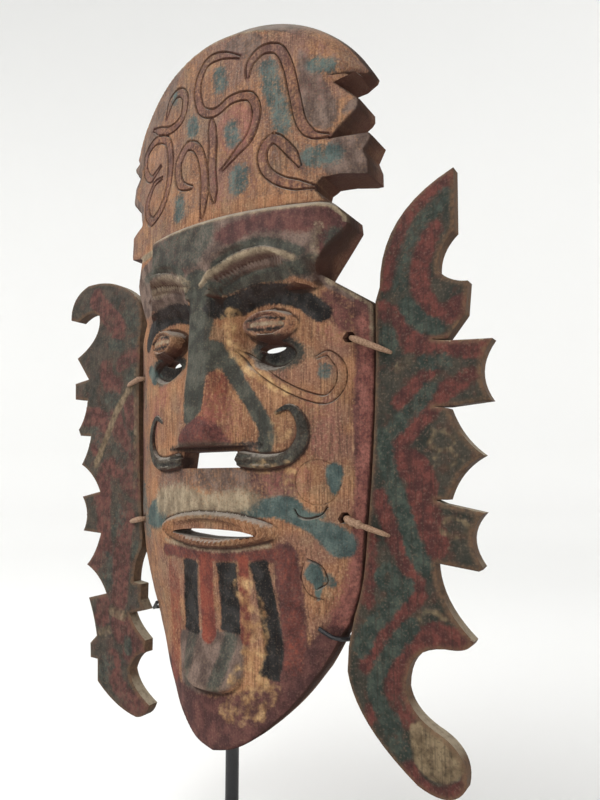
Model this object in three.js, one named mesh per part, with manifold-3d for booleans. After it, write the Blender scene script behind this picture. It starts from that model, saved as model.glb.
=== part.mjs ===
// Carved spirit mask of painted wood, with two tied-on ear boards, held by a plain steel stand.
// Millimetres, +Z up. The face looks along -Y and the origin is the centre of the base's underside.

import * as THREE from "three";
import { mergeVertices } from "three/addons/utils/BufferGeometryUtils.js";
import Module from "manifold-3d";

const wasm = await Module();
wasm.setup();

// Gap kept between pieces that touch
const GAP = 0.35;

// Where the mask sits above the base: the lower ties are at height zero of the mask
const MASK_X = 3;
const MASK_Y = 13;
const MASK_Z = 210;

// The log that the mask is cut from: depth of its middle at each height, and its bend
const MIDDLE_DEPTH = [[-127, 27], [-60, 26], [0, 33], [120, 37], [185, 40], [325, 36]];
const BEND = [[-125, 65], [-100, 82], [-70, 107], [-46, 130], [-20, 146], [10, 150], [140, 150], [185, 220]];
const SHELL = [[-125, 8], [-60, 11], [0, 13], [185, 15], [200, 22], [325, 22]];
const RIM_BACK = 5;

// Outline of the face and crest
const JAW = [[0, -123], [13, -120], [24, -114.5], [35, -106], [44, -97.5], [52, -88.5], [59, -79], [65.5, -69.5],
  [73, -57], [80, -44.5], [86, -24], [89, 0]];
const TEMPLE_WIDTH = 97;
const TEMPLE_HEIGHT = 129;
const DOME_CENTRE = 235;
const DOME_WIDTH = 108;
const DOME_RISE = 94;
const DOME_CHAMFER = 16;

// Brow ledge under the crest
const LEDGE_TOP = 184.5;
const LEDGE_FOOT = 138;
const LEDGE_FRONT = 51;
const LEDGE_RADIUS = 165;
const LEDGE_LEFT = -40;
const LEDGE_RIGHT = 77;

// Face features, each on both sides of the middle
const EYE = { x: 43, z: 118, wide: 17, high: 9.5, rise: 5.5 };
const BOWL = { x: 45, z: 101, wide: 17, high: 9.5, floor: 22 };
const EYE_SLIT = { x: 41, z: 105.5, wide: 8, high: 2.2 };
const NOSTRIL = { left: -22, right: 24, bottom: 36.5, top: 46.5 };
const MOUTH = { x: 1, z: 0.5, wide: 47, high: 10.5, rise: 4 };
const MOUTH_SLIT = { x: 3, z: -1.5, wide: 31, high: 2.7 };
const TONGUE = { x: -3, z: -75, wide: 23, high: 17, rise: 6 };
const GROOVE_DEPTH = 1.9;
const GROOVE_HALF = 1.1;

// Ear boards and ties
const EAR_FRONT = -5;
const EAR_THICK = 8;
const TIE_RADIUS = 2;
const TIE_HOLE = 2.8;
const TIES = [
  { name: "tie_upper_right", face: [85, 109], ear: [107, 98.5] },
  { name: "tie_lower_right", face: [80, 8.5], ear: [103, 0] },
  { name: "tie_upper_left", face: [-87, 103], ear: [-108, 100] },
  { name: "tie_lower_left", face: [-81, 3], ear: [-100, 0] },
];

// Stand
const BASE = { width: 140, depth: 110, height: 10 };
const ROD_RADIUS = 4;
const ROD_AT = [MASK_X - 3, MASK_Y - 5];
const ROD_SOCKET = 6;
const CRADLE_HEIGHT = -58;
const WIRE_RADIUS = 1.2;

// Helpers

function ramp(table, at) {
  const last = table.length - 1;
  if (at <= table[0][0]) return table[0][1];
  for (let i = 0; i < last; i++) {
    const [from, low] = table[i];
    const [to, high] = table[i + 1];
    if (at <= to) return THREE.MathUtils.mapLinear(at, from, to, low, high);
  }
  return table[last][1];
}

function range(from, to, steps) {
  return Array.from({ length: steps + 1 }, (_, i) => from + ((to - from) * i) / steps);
}

// A closed geometry as a solid, turned the right way round
function solid(geometry) {
  const bare = geometry.index ? geometry.toNonIndexed() : geometry;
  const positions = new THREE.BufferGeometry();
  positions.setAttribute("position", bare.getAttribute("position"));
  const merged = mergeVertices(positions, 1e-4);
  const triVerts = new Uint32Array(merged.index.array);
  const vertProperties = new Float32Array(merged.attributes.position.array);
  const made = new wasm.Manifold(new wasm.Mesh({ numProp: 3, vertProperties, triVerts }));
  if (made.volume() >= 0) return made;
  return new wasm.Manifold(new wasm.Mesh({ numProp: 3, vertProperties, triVerts: triVerts.reverse() }));
}

// The triangles of a list of points, as a geometry
function faces(points, triangles) {
  const geometry = new THREE.BufferGeometry().setFromPoints(points);
  geometry.setIndex(triangles.flat());
  return geometry;
}

// A solid through rings of points that all have the same count, closed at both ends
function loft(rings) {
  const count = rings[0].length;
  const points = rings.flat();
  const triangles = [];
  for (let r = 0; r + 1 < rings.length; r++)
    for (let j = 0; j < count; j++) {
      const a = r * count + j;
      const b = r * count + ((j + 1) % count);
      triangles.push([a, b, b + count], [a, b + count, a + count]);
    }
  for (const [ring, first, flip] of [[rings[0], 0, true], [rings.at(-1), points.length - count, false]]) {
    const middle = ring.reduce((sum, p) => sum.add(p), new THREE.Vector3()).divideScalar(count);
    const centre = points.push(middle) - 1;
    for (let j = 0; j < count; j++) {
      const pair = [first + j, first + ((j + 1) % count)];
      triangles.push([centre, ...(flip ? pair.reverse() : pair)]);
    }
  }
  return solid(faces(points, triangles));
}

// A section swept along stations; each station gives the section's points in space
function sweep(stations, section) {
  const rings = stations.map(({ at, across, out }) =>
    section.map(([u, v]) => at.clone().addScaledVector(across, u).addScaledVector(out, v)),
  );
  const count = section.length;
  const points = rings.flat();
  const triangles = [];
  for (let r = 0; r + 1 < rings.length; r++)
    for (let j = 0; j < count; j++) {
      const a = r * count + j;
      const b = r * count + ((j + 1) % count);
      triangles.push([a, b, b + count], [a, b + count, a + count]);
    }
  const flat = section.map(([u, v]) => new THREE.Vector2(u, v));
  const turn = Math.sign(THREE.ShapeUtils.area(flat));
  const last = points.length - count;
  for (const cap of THREE.ShapeUtils.triangulateShape(flat, [])) {
    const ahead = Math.sign(THREE.ShapeUtils.area(cap.map((i) => flat[i]))) === turn;
    const end = ahead ? cap : cap.toReversed();
    triangles.push(end.map((i) => i + last), end.toReversed());
  }
  return solid(faces(points, triangles));
}

// A prism along Y over an outline drawn in X and Z
function prism(outline, front, back) {
  const shape = outline instanceof THREE.Shape ? outline : new THREE.Shape(outline);
  const geometry = new THREE.ExtrudeGeometry(shape, { depth: back - front, bevelEnabled: false, curveSegments: 5 });
  return solid(geometry.rotateX(Math.PI / 2).translate(0, back, 0));
}

// A block whose front follows a height over a grid of X and Z
function reliefBlock(xs, zs, front, back) {
  const points = [];
  const triangles = [];
  for (const z of zs) for (const x of xs) points.push(new THREE.Vector3(x, -front(x, z), z));
  const wide = xs.length;
  for (let k = 0; k + 1 < zs.length; k++)
    for (let i = 0; i + 1 < wide; i++) {
      const a = k * wide + i;
      triangles.push([a, a + 1, a + wide + 1], [a, a + wide + 1, a + wide]);
    }
  const rim = [];
  for (let i = 0; i < wide; i++) rim.push(i);
  for (let k = 1; k < zs.length; k++) rim.push(k * wide + wide - 1);
  for (let i = wide - 2; i >= 0; i--) rim.push((zs.length - 1) * wide + i);
  for (let k = zs.length - 2; k > 0; k--) rim.push(k * wide);
  const behind = rim.map((i) => points.push(new THREE.Vector3(points[i].x, back, points[i].z)) - 1);
  const middle = points.push(new THREE.Vector3(xs[0] / 2 + xs.at(-1) / 2, back, zs[0] / 2 + zs.at(-1) / 2)) - 1;
  rim.forEach((a, i) => {
    const j = (i + 1) % rim.length;
    triangles.push([a, behind[i], behind[j]], [a, behind[j], rim[j]], [middle, behind[j], behind[i]]);
  });
  return solid(faces(points, triangles));
}

function tube(points, radius, steps, sides) {
  const path = new THREE.CatmullRomCurve3(points, false, "centripetal");
  const ring = range(0, Math.PI * 2, sides).slice(0, sides);
  const shape = new THREE.Shape(ring.map((t) => new THREE.Vector2(radius * Math.cos(t), radius * Math.sin(t))));
  return solid(new THREE.ExtrudeGeometry(shape, { steps, extrudePath: path, bevelEnabled: false }));
}

function join(pieces) {
  return pieces.reduce((sum, piece) => sum.add(piece));
}

function meshOf(name, body, material) {
  const { vertProperties, triVerts } = body.getMesh();
  const geometry = new THREE.BufferGeometry();
  geometry.setAttribute("position", new THREE.BufferAttribute(vertProperties, 3));
  geometry.setIndex(new THREE.BufferAttribute(triVerts, 1));
  geometry.computeVertexNormals();
  const mesh = new THREE.Mesh(geometry, material);
  mesh.name = name;
  return mesh;
}

function paint(colour, roughness, metalness = 0) {
  return new THREE.MeshStandardMaterial({ color: colour, roughness, metalness });
}

// The front of the uncarved log, measured forward of the rim
function logFront(x, z) {
  const radius = ramp(BEND, z);
  const drop = radius - Math.sqrt(Math.max(0, radius * radius - x * x));
  return Math.max(ramp(MIDDLE_DEPTH, z) - drop, 2 - RIM_BACK);
}

function onLog(x, z, rise = 0) {
  return new THREE.Vector3(x, -logFront(x, z) - rise, z);
}

function logNormal(x, z) {
  const slopeX = logFront(x + 0.5, z) - logFront(x - 0.5, z);
  const slopeZ = logFront(x, z + 0.5) - logFront(x, z - 0.5);
  return new THREE.Vector3(-slopeX, -1, -slopeZ).normalize();
}

// Outline of the mask, seen from the front

function jawLine() {
  const [width] = JAW.at(-1);
  const cheek = range(0.15, 1, 5).map((t) => {
    const swell = 1 - (1 - t) ** 2;
    return [width + (TEMPLE_WIDTH - width) * swell, TEMPLE_HEIGHT * t];
  });
  return [...JAW, ...cheek];
}

function rightTeeth() {
  const temple = [[73, 145], [84, 161], [91, 171], [91, 176.5], [84, 183.5], [76, 190], [73, 194], [73, 198]];
  const lowTooth = [[77, 201.5], [86, 202.5], [101, 201], [101, 209], [98.5, 216], [103, 224], [101, 226.5]];
  const midTooth = [[80, 225], [96.5, 243.5], [96.5, 248]];
  const topTooth = [[82.5, 261], [99, 268]];
  return [...temple, ...lowTooth, ...midTooth, ...topTooth];
}

function leftTeeth() {
  const temple = [[78, 141], [83, 160], [83, 168], [72, 184]];
  const lowTooth = [[75, 185.5], [91, 190.5], [92, 208], [75, 211]];
  const midTooth = [[79, 222], [95, 236], [93, 248]];
  const topTooth = [[85, 252], [98, 265]];
  return [...temple, ...lowTooth, ...midTooth, ...topTooth];
}

function dome(steps, start = 0.385) {
  return range(start, Math.PI - start, steps).map((angle) => [
    DOME_WIDTH * Math.cos(angle),
    DOME_CENTRE + DOME_RISE * Math.sin(angle),
  ]);
}

function maskOutline() {
  const right = [...jawLine(), ...rightTeeth()];
  const left = [...jawLine().slice(1), ...leftTeeth()].map(([x, z]) => [-x, z]);
  return [...right, ...dome(20), ...left.reverse()].map(([x, z]) => new THREE.Vector2(x, z));
}

// Raised and sunk shapes of the face

function lens(part, scale = 1, steps = 20) {
  return range(0, Math.PI * 2, steps).slice(0, steps).map((t) => [
    part.x + scale * part.wide * Math.cos(t),
    part.z + scale * part.high * Math.sin(t) * (0.72 + 0.28 * Math.abs(Math.sin(t))),
  ]);
}

// A mound over a lens: pairs of size and rise above the log, from its foot to its top
function mound(part, levels, steps = 20) {
  return loft(levels.map(([scale, rise]) => lens(part, scale, steps).map(([x, z]) => onLog(x, z, rise))));
}

function mirrored(part, side) {
  return { ...part, x: side * part.x };
}

function browLedge() {
  const front = range(LEDGE_LEFT, LEDGE_RIGHT, 12).map((x) => [x, (x * x) / (2 * LEDGE_RADIUS) - LEDGE_FRONT]);
  const plan = [[-87, -2], ...front, [100, -11], [100, 0], [-87, 0]];
  const shape = new THREE.Shape(plan.map(([x, y]) => new THREE.Vector2(x, y)));
  const depth = LEDGE_TOP - LEDGE_FOOT;
  const block = new THREE.ExtrudeGeometry(shape, { depth, bevelEnabled: false });
  return solid(block.translate(0, 0, LEDGE_FOOT));
}

// The hollow under a brow slants back and down from the brow line to the eye
function socket(side) {
  const arch = [[10, 146], [20, 155], [32, 160], [43, 162], [54, 160], [64, 154], [76, 141], [76, 122], [10, 112]];
  const slant = 1.35;
  const ring = (y) => arch.map(([x, z]) => new THREE.Vector3(side * x, y, z - slant * (y + 45)));
  return loft([ring(-70), ring(-26)]);
}

const BROW_LINE = [[4, 145], [13, 150.5], [27, 156], [41, 158], [54, 156.5], [64, 152]];

function browRidge(side) {
  const curve = new THREE.SplineCurve(BROW_LINE.map(([x, z]) => new THREE.Vector2(side * x, z)));
  const ledge = (x) => LEDGE_FRONT - (x * x) / (2 * LEDGE_RADIUS);
  const stations = curve.getSpacedPoints(14).map((p, i, all) => {
    const thin = 0.35 + 0.65 * Math.sin((Math.PI * (i + 0.4)) / (all.length - 0.2));
    const along = curve.getTangent(i / (all.length - 1));
    const reach = side < 0 && p.x < LEDGE_LEFT ? ledge(LEDGE_LEFT) - (LEDGE_LEFT - p.x) * 0.7 : ledge(p.x);
    return {
      at: new THREE.Vector3(p.x, -reach, p.y),
      across: new THREE.Vector3(-along.y, 0, along.x).multiplyScalar(thin),
      out: new THREE.Vector3(0, -thin, 0),
    };
  });
  return sweep(stations, [[-3, -3], [3, -3], [2, 2.2], [-2, 2.8]]);
}

function nose() {
  const levels = [
    { z: 153, ridge: 8, foot: 11, front: 46 },
    { z: 122, ridge: 8.5, foot: 14, front: 45 },
    { z: 95, ridge: 10, foot: 20, front: 45 },
    { z: 72, ridge: 12.5, foot: 29, front: 46.5 },
    { z: 49, ridge: 14, foot: 38, front: 47 },
  ];
  const ring = ({ z, ridge, foot, front }) => {
    const skirt = logFront(foot, z) - 1;
    const half = [[foot, 20], [foot, skirt], [ridge, front - 2], [ridge - 4, front]];
    const points = [...half, ...half.toReversed().map(([x, f]) => [-x, f])];
    return points.map(([x, f]) => new THREE.Vector3(x, -f, z));
  };
  return loft(levels.toReversed().map(ring));
}

// Curls at the sides of the nose, thick at the root and thin at the tip
function curl(side) {
  const line = [[26, 41], [40, 39.5], [53, 42], [60, 51], [60, 62], [54, 70], [46, 67]];
  const curve = new THREE.SplineCurve(line.map(([x, z]) => new THREE.Vector2(side * x, z)));
  const steps = 14;
  const stations = curve.getSpacedPoints(steps).map((p, i) => {
    const along = curve.getTangent(i / steps);
    const size = THREE.MathUtils.lerp(1.5, 0.75, Math.min(1, i / (0.6 * steps)));
    const out = logNormal(p.x, p.y);
    const across = new THREE.Vector3(along.x, 0, along.y).cross(out).normalize();
    return { at: onLog(p.x, p.y), across: across.multiplyScalar(size), out: out.multiplyScalar(size) };
  });
  return sweep(stations, [[-3.6, -2], [-3.2, 2.6], [0, 4.2], [3.2, 2.6], [3.6, -2]]);
}

function tongue() {
  const sizes = [[1, -3], [0.97, 0], [0.82, 1], [0.4, 1]];
  const ring = ([scale, share]) =>
    range(0, Math.PI * 2, 20).slice(0, 20).map((t) => {
      const x = TONGUE.x + scale * TONGUE.wide * Math.sign(Math.cos(t)) * Math.abs(Math.cos(t)) ** 0.7;
      const z = TONGUE.z + scale * TONGUE.high * Math.sign(Math.sin(t)) * Math.abs(Math.sin(t)) ** 0.7;
      const swell = 0.5 - (0.5 * (z - TONGUE.z)) / TONGUE.high;
      return onLog(x, z, share < 0 ? share : share * TONGUE.rise * swell);
    });
  return loft(sizes.map(ring));
}

function domeChamfer() {
  const edge = range(0.3, Math.PI - 0.3, 20).map((angle) => {
    const x = DOME_WIDTH * Math.cos(angle);
    const z = DOME_CENTRE + DOME_RISE * Math.sin(angle);
    const away = new THREE.Vector2(Math.cos(angle) / DOME_WIDTH, Math.sin(angle) / DOME_RISE).normalize();
    const size = DOME_CHAMFER * (0.3 + 0.7 * Math.sin(angle));
    const inner = onLog(x - away.x * size, z - away.y * size, 0.1);
    const outer = new THREE.Vector3(x + away.x * 4, -logFront(x, z) + size + 4, z + away.y * 4);
    const ahead = new THREE.Vector3(outer.x, inner.y - 6, outer.z);
    return [inner, ahead, outer];
  });
  return loft(edge);
}

// A painted band between two cut lines that follows a curve over the log
function scroll(line, half, steps) {
  const curve = new THREE.SplineCurve(line.map(([x, z]) => new THREE.Vector2(x, z)));
  const stations = curve.getSpacedPoints(steps).map((p, i) => {
    const along = curve.getTangentAt(i / steps);
    const out = logNormal(p.x, p.y);
    const across = new THREE.Vector3(along.x, 0, along.y).cross(out).normalize();
    return { at: onLog(p.x, p.y), across, out };
  });
  const inner = half - GROOVE_HALF;
  const outer = half + GROOVE_HALF;
  return sweep(stations, [
    [-outer, 1.2], [-half, -GROOVE_DEPTH], [-inner, 0.4],
    [inner, 0.4], [half, -GROOVE_DEPTH], [outer, 1.2],
  ]);
}

// A single cut line
function cutLine(line, steps) {
  const curve = new THREE.SplineCurve(line.map(([x, z]) => new THREE.Vector2(x, z)));
  const stations = curve.getSpacedPoints(steps).map((p, i) => {
    const along = curve.getTangentAt(i / steps);
    const out = logNormal(p.x, p.y);
    const across = new THREE.Vector3(along.x, 0, along.y).cross(out).normalize();
    return { at: onLog(p.x, p.y), across, out };
  });
  return sweep(stations, [[-GROOVE_HALF, 0.5], [0, -GROOVE_DEPTH], [GROOVE_HALF, 0.5]]);
}

function arc(x, z, wide, high, from, to, steps = 8) {
  return range(from, to, steps).map((turn) => {
    const angle = turn * Math.PI * 2;
    return [x + wide * Math.cos(angle), z + high * Math.sin(angle)];
  });
}

const SCROLLS = [
  // Curl at the upper left
  { half: 2.6, steps: 11, line: [[-45, 279], [-40, 289], [-31, 292], [-24, 284], [-27, 271], [-41, 268], [-63, 279]] },
  // Tall ring with two hooks turned into it
  { half: 2.6, steps: 21, line: [[-49, 245], [-62, 241], [-72, 250], [-72, 264], [-57, 268], [-42, 260], [-37, 243],
    [-39, 224], [-47, 211], [-60, 208], [-67, 222], [-58, 234], [-47, 235]] },
  // Narrow arch
  { half: 3, steps: 12, line: [[-13, 216], [-25, 222], [-28, 237], [-20, 247], [-10, 242], [-4, 228], [-2, 209], [-3, 192]] },
  // Long wave from the top of the dome round to the stem
  { half: 2.6, steps: 20, line: [[23, 294], [8, 301], [-5, 300], [-12, 287], [-8, 269], [4, 262], [18, 266], [31, 264],
    [36, 252], [32, 237], [22, 228], [12, 220]] },
  // Stem
  { half: 3, steps: 3, line: [[2, 258], [4, 240], [4, 222], [7, 200]] },
  // Great arch to the notch of the lowest tooth
  { half: 3, steps: 14, line: [[29, 277], [31, 287], [40, 293], [50, 290], [56, 277], [60, 258], [64, 239], [71, 229], [80, 227]] },
  // Loop at the lower right
  { half: 2.8, steps: 12, line: [[64, 210], [58, 221], [48, 231], [41, 224], [43, 212], [54, 202], [72, 196]] },
  // Cheek scroll
  { half: 2.6, steps: 13, line: [[20, 106], [31, 97], [46, 85], [60, 77], [72, 74], [79, 81], [80, 92], [74, 100], [68, 98]] },
];

const CUT_LINES = [
  // Ring on the cheek, crescent under it and leaf beside the chin
  { steps: 12, line: arc(67, 28, 11.5, 12.5, 0.1, 1.02, 12) },
  { steps: 8, line: arc(63, 14, 8, 6, 0.55, 0.98, 6) },
  { steps: 10, line: [[58, -16], [56, -24], [59, -33], [66, -36]] },
  { steps: 10, line: [[60, -14], [67, -18], [69, -26], [64, -30]] },
];

function carvedMask() {
  const outline = maskOutline();
  const log = reliefBlock(range(-112, 112, 16), range(-130, 328, 14), logFront, RIM_BACK);
  let body = join([log, browLedge()]).intersect(prism(outline, -80, RIM_BACK));
  for (const side of [1, -1]) body = body.subtract(socket(side));
  body = join([body, nose()]);
  const raised = [
    mound(MOUTH, [[1, -3], [0.99, 0.4], [0.86, MOUTH.rise], [0.66, MOUTH.rise], [0.5, 1.5]]),
    tongue(),
  ];
  for (const side of [1, -1]) {
    const eye = mirrored(EYE, side);
    raised.push(mound(eye, [[1, -7], [0.98, 0], [0.8, EYE.rise], [0.66, EYE.rise], [0.6, EYE.rise - 1.5],
      [0.38, EYE.rise - 0.4], [0.15, EYE.rise]]));
    raised.push(curl(side), browRidge(side));
  }
  body = join([body, ...raised]);
  const inside = (x, z) => logFront(x, z) - ramp(SHELL, z);
  body = body.subtract(reliefBlock(range(-118, 118, 12), range(-140, 340, 10), inside, 60));
  const cuts = [domeChamfer()];
  for (const side of [1, -1]) {
    const bowl = mirrored(BOWL, side);
    const ring = (scale, y) => lens(bowl, scale, 20).map(([x, z]) => new THREE.Vector3(x, y, z));
    cuts.push(loft([ring(0.7, -BOWL.floor), ring(1.25, -BOWL.floor - 16)]));
    const slit = lens(mirrored(EYE_SLIT, side), 1, 12).map(([x, z]) => new THREE.Vector2(x, z));
    cuts.push(prism(slit, -60, 20));
  }
  const { left, right, bottom, top } = NOSTRIL;
  const nostril = [[left, bottom], [right, bottom], [right - 2, top], [left + 2, top]];
  cuts.push(prism(nostril.map(([x, z]) => new THREE.Vector2(x, z)), -60, 20));
  const mouthSlit = lens({ ...MOUTH, ...MOUTH_SLIT }, 1, 20).map(([x, z]) => new THREE.Vector2(x, z));
  cuts.push(prism(mouthSlit, -60, 20));
  for (const { line, half, steps } of SCROLLS) cuts.push(scroll(line, half, steps));
  for (const { line, steps } of CUT_LINES) cuts.push(cutLine(line, steps));
  for (const { face } of TIES) cuts.push(tieHole(face[0], face[1], logFront(...face) + 6, 8 + 6));
  for (const cut of cuts) body = body.subtract(cut);
  return body;
}

function tieHole(x, z, front, depth) {
  const hole = new THREE.CylinderGeometry(TIE_HOLE, TIE_HOLE, depth, 12);
  return solid(hole.translate(x, -front + depth / 2, z));
}

// Ear boards: toothed outlines drawn from the top round the free side and back along the face

function rightEar() {
  const shape = new THREE.Shape().moveTo(146, 195);
  shape.lineTo(145, 160);
  shape.quadraticCurveTo(135, 152, 135, 140);
  shape.quadraticCurveTo(141, 132, 151, 131);
  shape.lineTo(149, 114);
  shape.lineTo(139, 102).lineTo(131, 102.5).lineTo(139, 101);
  shape.lineTo(162, 99);
  shape.quadraticCurveTo(150, 84, 160, 68);
  shape.lineTo(138, 66.5).lineTo(130, 67).lineTo(138, 65.5);
  shape.quadraticCurveTo(143, 50, 155, 41);
  shape.quadraticCurveTo(141, 34, 136, 19);
  shape.lineTo(129, 19).lineTo(134, 17);
  shape.lineTo(154, 13);
  shape.quadraticCurveTo(142, 1, 152, -13);
  shape.lineTo(150, -15).lineTo(128, -12.5);
  shape.quadraticCurveTo(128, -32, 146, -48);
  shape.quadraticCurveTo(144, -53, 136, -53.5);
  shape.quadraticCurveTo(111, -53, 110, -76);
  shape.quadraticCurveTo(112, -88, 128, -94);
  shape.quadraticCurveTo(143, -101, 139, -116);
  shape.quadraticCurveTo(132, -127, 115, -120);
  shape.quadraticCurveTo(81, -98, 76.5, -73);
  const edge = jawLine().filter(([, z]) => z > -46);
  shape.lineTo(77.5, -60);
  for (const [x, z] of edge) shape.lineTo(x + 1.2, z);
  shape.lineTo(101, 137);
  shape.quadraticCurveTo(102, 180, 146, 195);
  return shape;
}

function leftEar() {
  const shape = new THREE.Shape().moveTo(-99, 134);
  shape.quadraticCurveTo(-94, 158, -103, 168);
  shape.quadraticCurveTo(-127, 190, -164, 189);
  shape.quadraticCurveTo(-187, 183, -185, 163);
  shape.lineTo(-175, 160);
  shape.quadraticCurveTo(-158, 169, -148, 161);
  shape.quadraticCurveTo(-143, 142, -174, 129);
  shape.lineTo(-158, 110).lineTo(-175, 108).lineTo(-174, 95).lineTo(-158, 93);
  shape.quadraticCurveTo(-160, 78, -168, 70);
  shape.lineTo(-165, 65).lineTo(-152, 64);
  shape.quadraticCurveTo(-154, 52, -162, 42);
  shape.quadraticCurveTo(-146, 35, -138, 21);
  shape.lineTo(-159, 17);
  shape.quadraticCurveTo(-148, 4, -156, -9);
  shape.lineTo(-135, -10);
  shape.quadraticCurveTo(-140, -26, -150, -34);
  shape.quadraticCurveTo(-134, -40, -126, -53);
  shape.lineTo(-146, -58);
  shape.quadraticCurveTo(-138, -72, -135, -84);
  shape.lineTo(-142, -90).lineTo(-141, -100).lineTo(-133, -100).lineTo(-132, -115);
  shape.quadraticCurveTo(-112, -129, -90, -131);
  shape.quadraticCurveTo(-80, -130, -77, -121);
  shape.quadraticCurveTo(-95, -113, -98, -102);
  shape.quadraticCurveTo(-94, -90, -83, -88);
  shape.lineTo(-83, -80);
  shape.quadraticCurveTo(-96, -72, -100, -64);
  shape.lineTo(-84, -60).lineTo(-89, -53).lineTo(-89, -43).lineTo(-97, -42);
  shape.quadraticCurveTo(-97, -28, -89.5, -18);
  for (const [x, z] of jawLine().filter(([, z]) => z > -12)) shape.lineTo(-x - 1.2, z);
  return shape;
}

function earBoard(shape, side) {
  let board = prism(shape, EAR_FRONT, EAR_FRONT + EAR_THICK);
  for (const { ear } of TIES)
    if (ear[0] * side > 0) board = board.subtract(tieHole(ear[0], ear[1], -EAR_FRONT + 4, EAR_THICK + 8));
  return board;
}

// A splint that leaves the face, crosses the joint and goes back through the ear
function tie({ face, ear }) {
  const [faceX, faceZ] = face;
  const [earX, earZ] = ear;
  const faceY = -logFront(faceX, faceZ);
  const lift = TIE_RADIUS + 1.6;
  const between = (share, y) =>
    new THREE.Vector3(THREE.MathUtils.lerp(faceX, earX, share), y, THREE.MathUtils.lerp(faceZ, earZ, share));
  const points = [
    between(0, faceY + 6),
    between(0, faceY - 0.6),
    between(0.18, faceY - lift),
    between(0.85, EAR_FRONT - lift),
    between(1, EAR_FRONT - 0.6),
    between(1, EAR_FRONT + EAR_THICK + 1.5),
  ];
  return tube(points, TIE_RADIUS, 9, 7);
}

// Stand: a rod with welded wire arms that hook round the edges of the chin

function cradle() {
  const bottom = BASE.height - ROD_SOCKET + GAP;
  const top = MASK_Z + CRADLE_HEIGHT + 3;
  const rod = new THREE.CylinderGeometry(ROD_RADIUS, ROD_RADIUS, top - bottom, 20).rotateX(Math.PI / 2);
  let frame = solid(rod.translate(ROD_AT[0], ROD_AT[1], (top + bottom) / 2));
  const edge = ramp(JAW.map(([x, z]) => [z, x]), CRADLE_HEIGHT);
  for (const side of [1, -1]) {
    const behind = RIM_BACK + WIRE_RADIUS + 1;
    const beside = edge + WIRE_RADIUS + 1;
    const grip = edge - 9;
    const before = (x, rise) => -logFront(x, CRADLE_HEIGHT + rise) - WIRE_RADIUS - 1.2;
    const points = [
      [(ROD_AT[0] - MASK_X) * side, -5, CRADLE_HEIGHT - 4],
      [14, behind - 2, CRADLE_HEIGHT - 3],
      [30, behind, CRADLE_HEIGHT - 2],
      [beside - 4, behind, CRADLE_HEIGHT],
      [beside + 0.5, behind - 3, CRADLE_HEIGHT],
      [beside + 0.3, before(edge, 1) + 1, CRADLE_HEIGHT + 1],
      [beside - 4, before(edge - 2, 2) - 1.8, CRADLE_HEIGHT + 2],
      [grip, before(grip, 7), CRADLE_HEIGHT + 7],
    ];
    const path = points.map(([x, y, z]) => new THREE.Vector3(MASK_X + side * x, MASK_Y + y, MASK_Z + z));
    frame = frame.add(tube(path, WIRE_RADIUS, 24, 6));
  }
  return frame;
}

function base() {
  const { width, depth, height } = BASE;
  const chamfer = 1;
  const ring = (inset, z) =>
    [[-1, -1], [1, -1], [1, 1], [-1, 1]].map(([x, y]) =>
      new THREE.Vector3(x * (width / 2 - inset), y * (depth / 2 - inset), z),
    );
  const plate = loft([ring(0, 0), ring(0, height - chamfer), ring(chamfer, height)]);
  const socketDepth = ROD_SOCKET + 2;
  const bore = new THREE.CylinderGeometry(ROD_RADIUS + GAP, ROD_RADIUS + GAP, socketDepth, 20);
  bore.rotateX(Math.PI / 2).translate(ROD_AT[0], ROD_AT[1], height - ROD_SOCKET + socketDepth / 2);
  return plate.subtract(solid(bore));
}

const mask = new THREE.Group();
mask.position.set(MASK_X, MASK_Y, MASK_Z);
mask.add(
  meshOf("mask", carvedMask(), paint(0x7a5540, 0.75)),
  meshOf("ear_right", earBoard(rightEar(), 1), paint(0x4f3a33, 0.7)),
  meshOf("ear_left", earBoard(leftEar(), -1), paint(0x55443b, 0.7)),
  ...TIES.map((part) => meshOf(part.name, tie(part), paint(0xa07a56, 0.8))),
);

const stand = new THREE.Group();
stand.add(
  meshOf("stand_cradle", cradle(), paint(0x141416, 0.45, 0.8)),
  meshOf("stand_base", base(), paint(0x141416, 0.5, 0.8)),
);

const object = new THREE.Group();
object.add(mask, stand);

export default object;
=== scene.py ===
"""Carved and painted spirit mask with two tied-on ear boards, on a plain steel stand.

The carving is drawn in millimetres over the front of the mask: x to the right, z up, and a depth that
is measured forward of the rim. Height zero is at the lower ties.
"""

import math

import bpy
import numpy as np
from mathutils import Matrix, Vector
from mathutils.geometry import delaunay_2d_cdt
from mathutils.kdtree import KDTree


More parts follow.
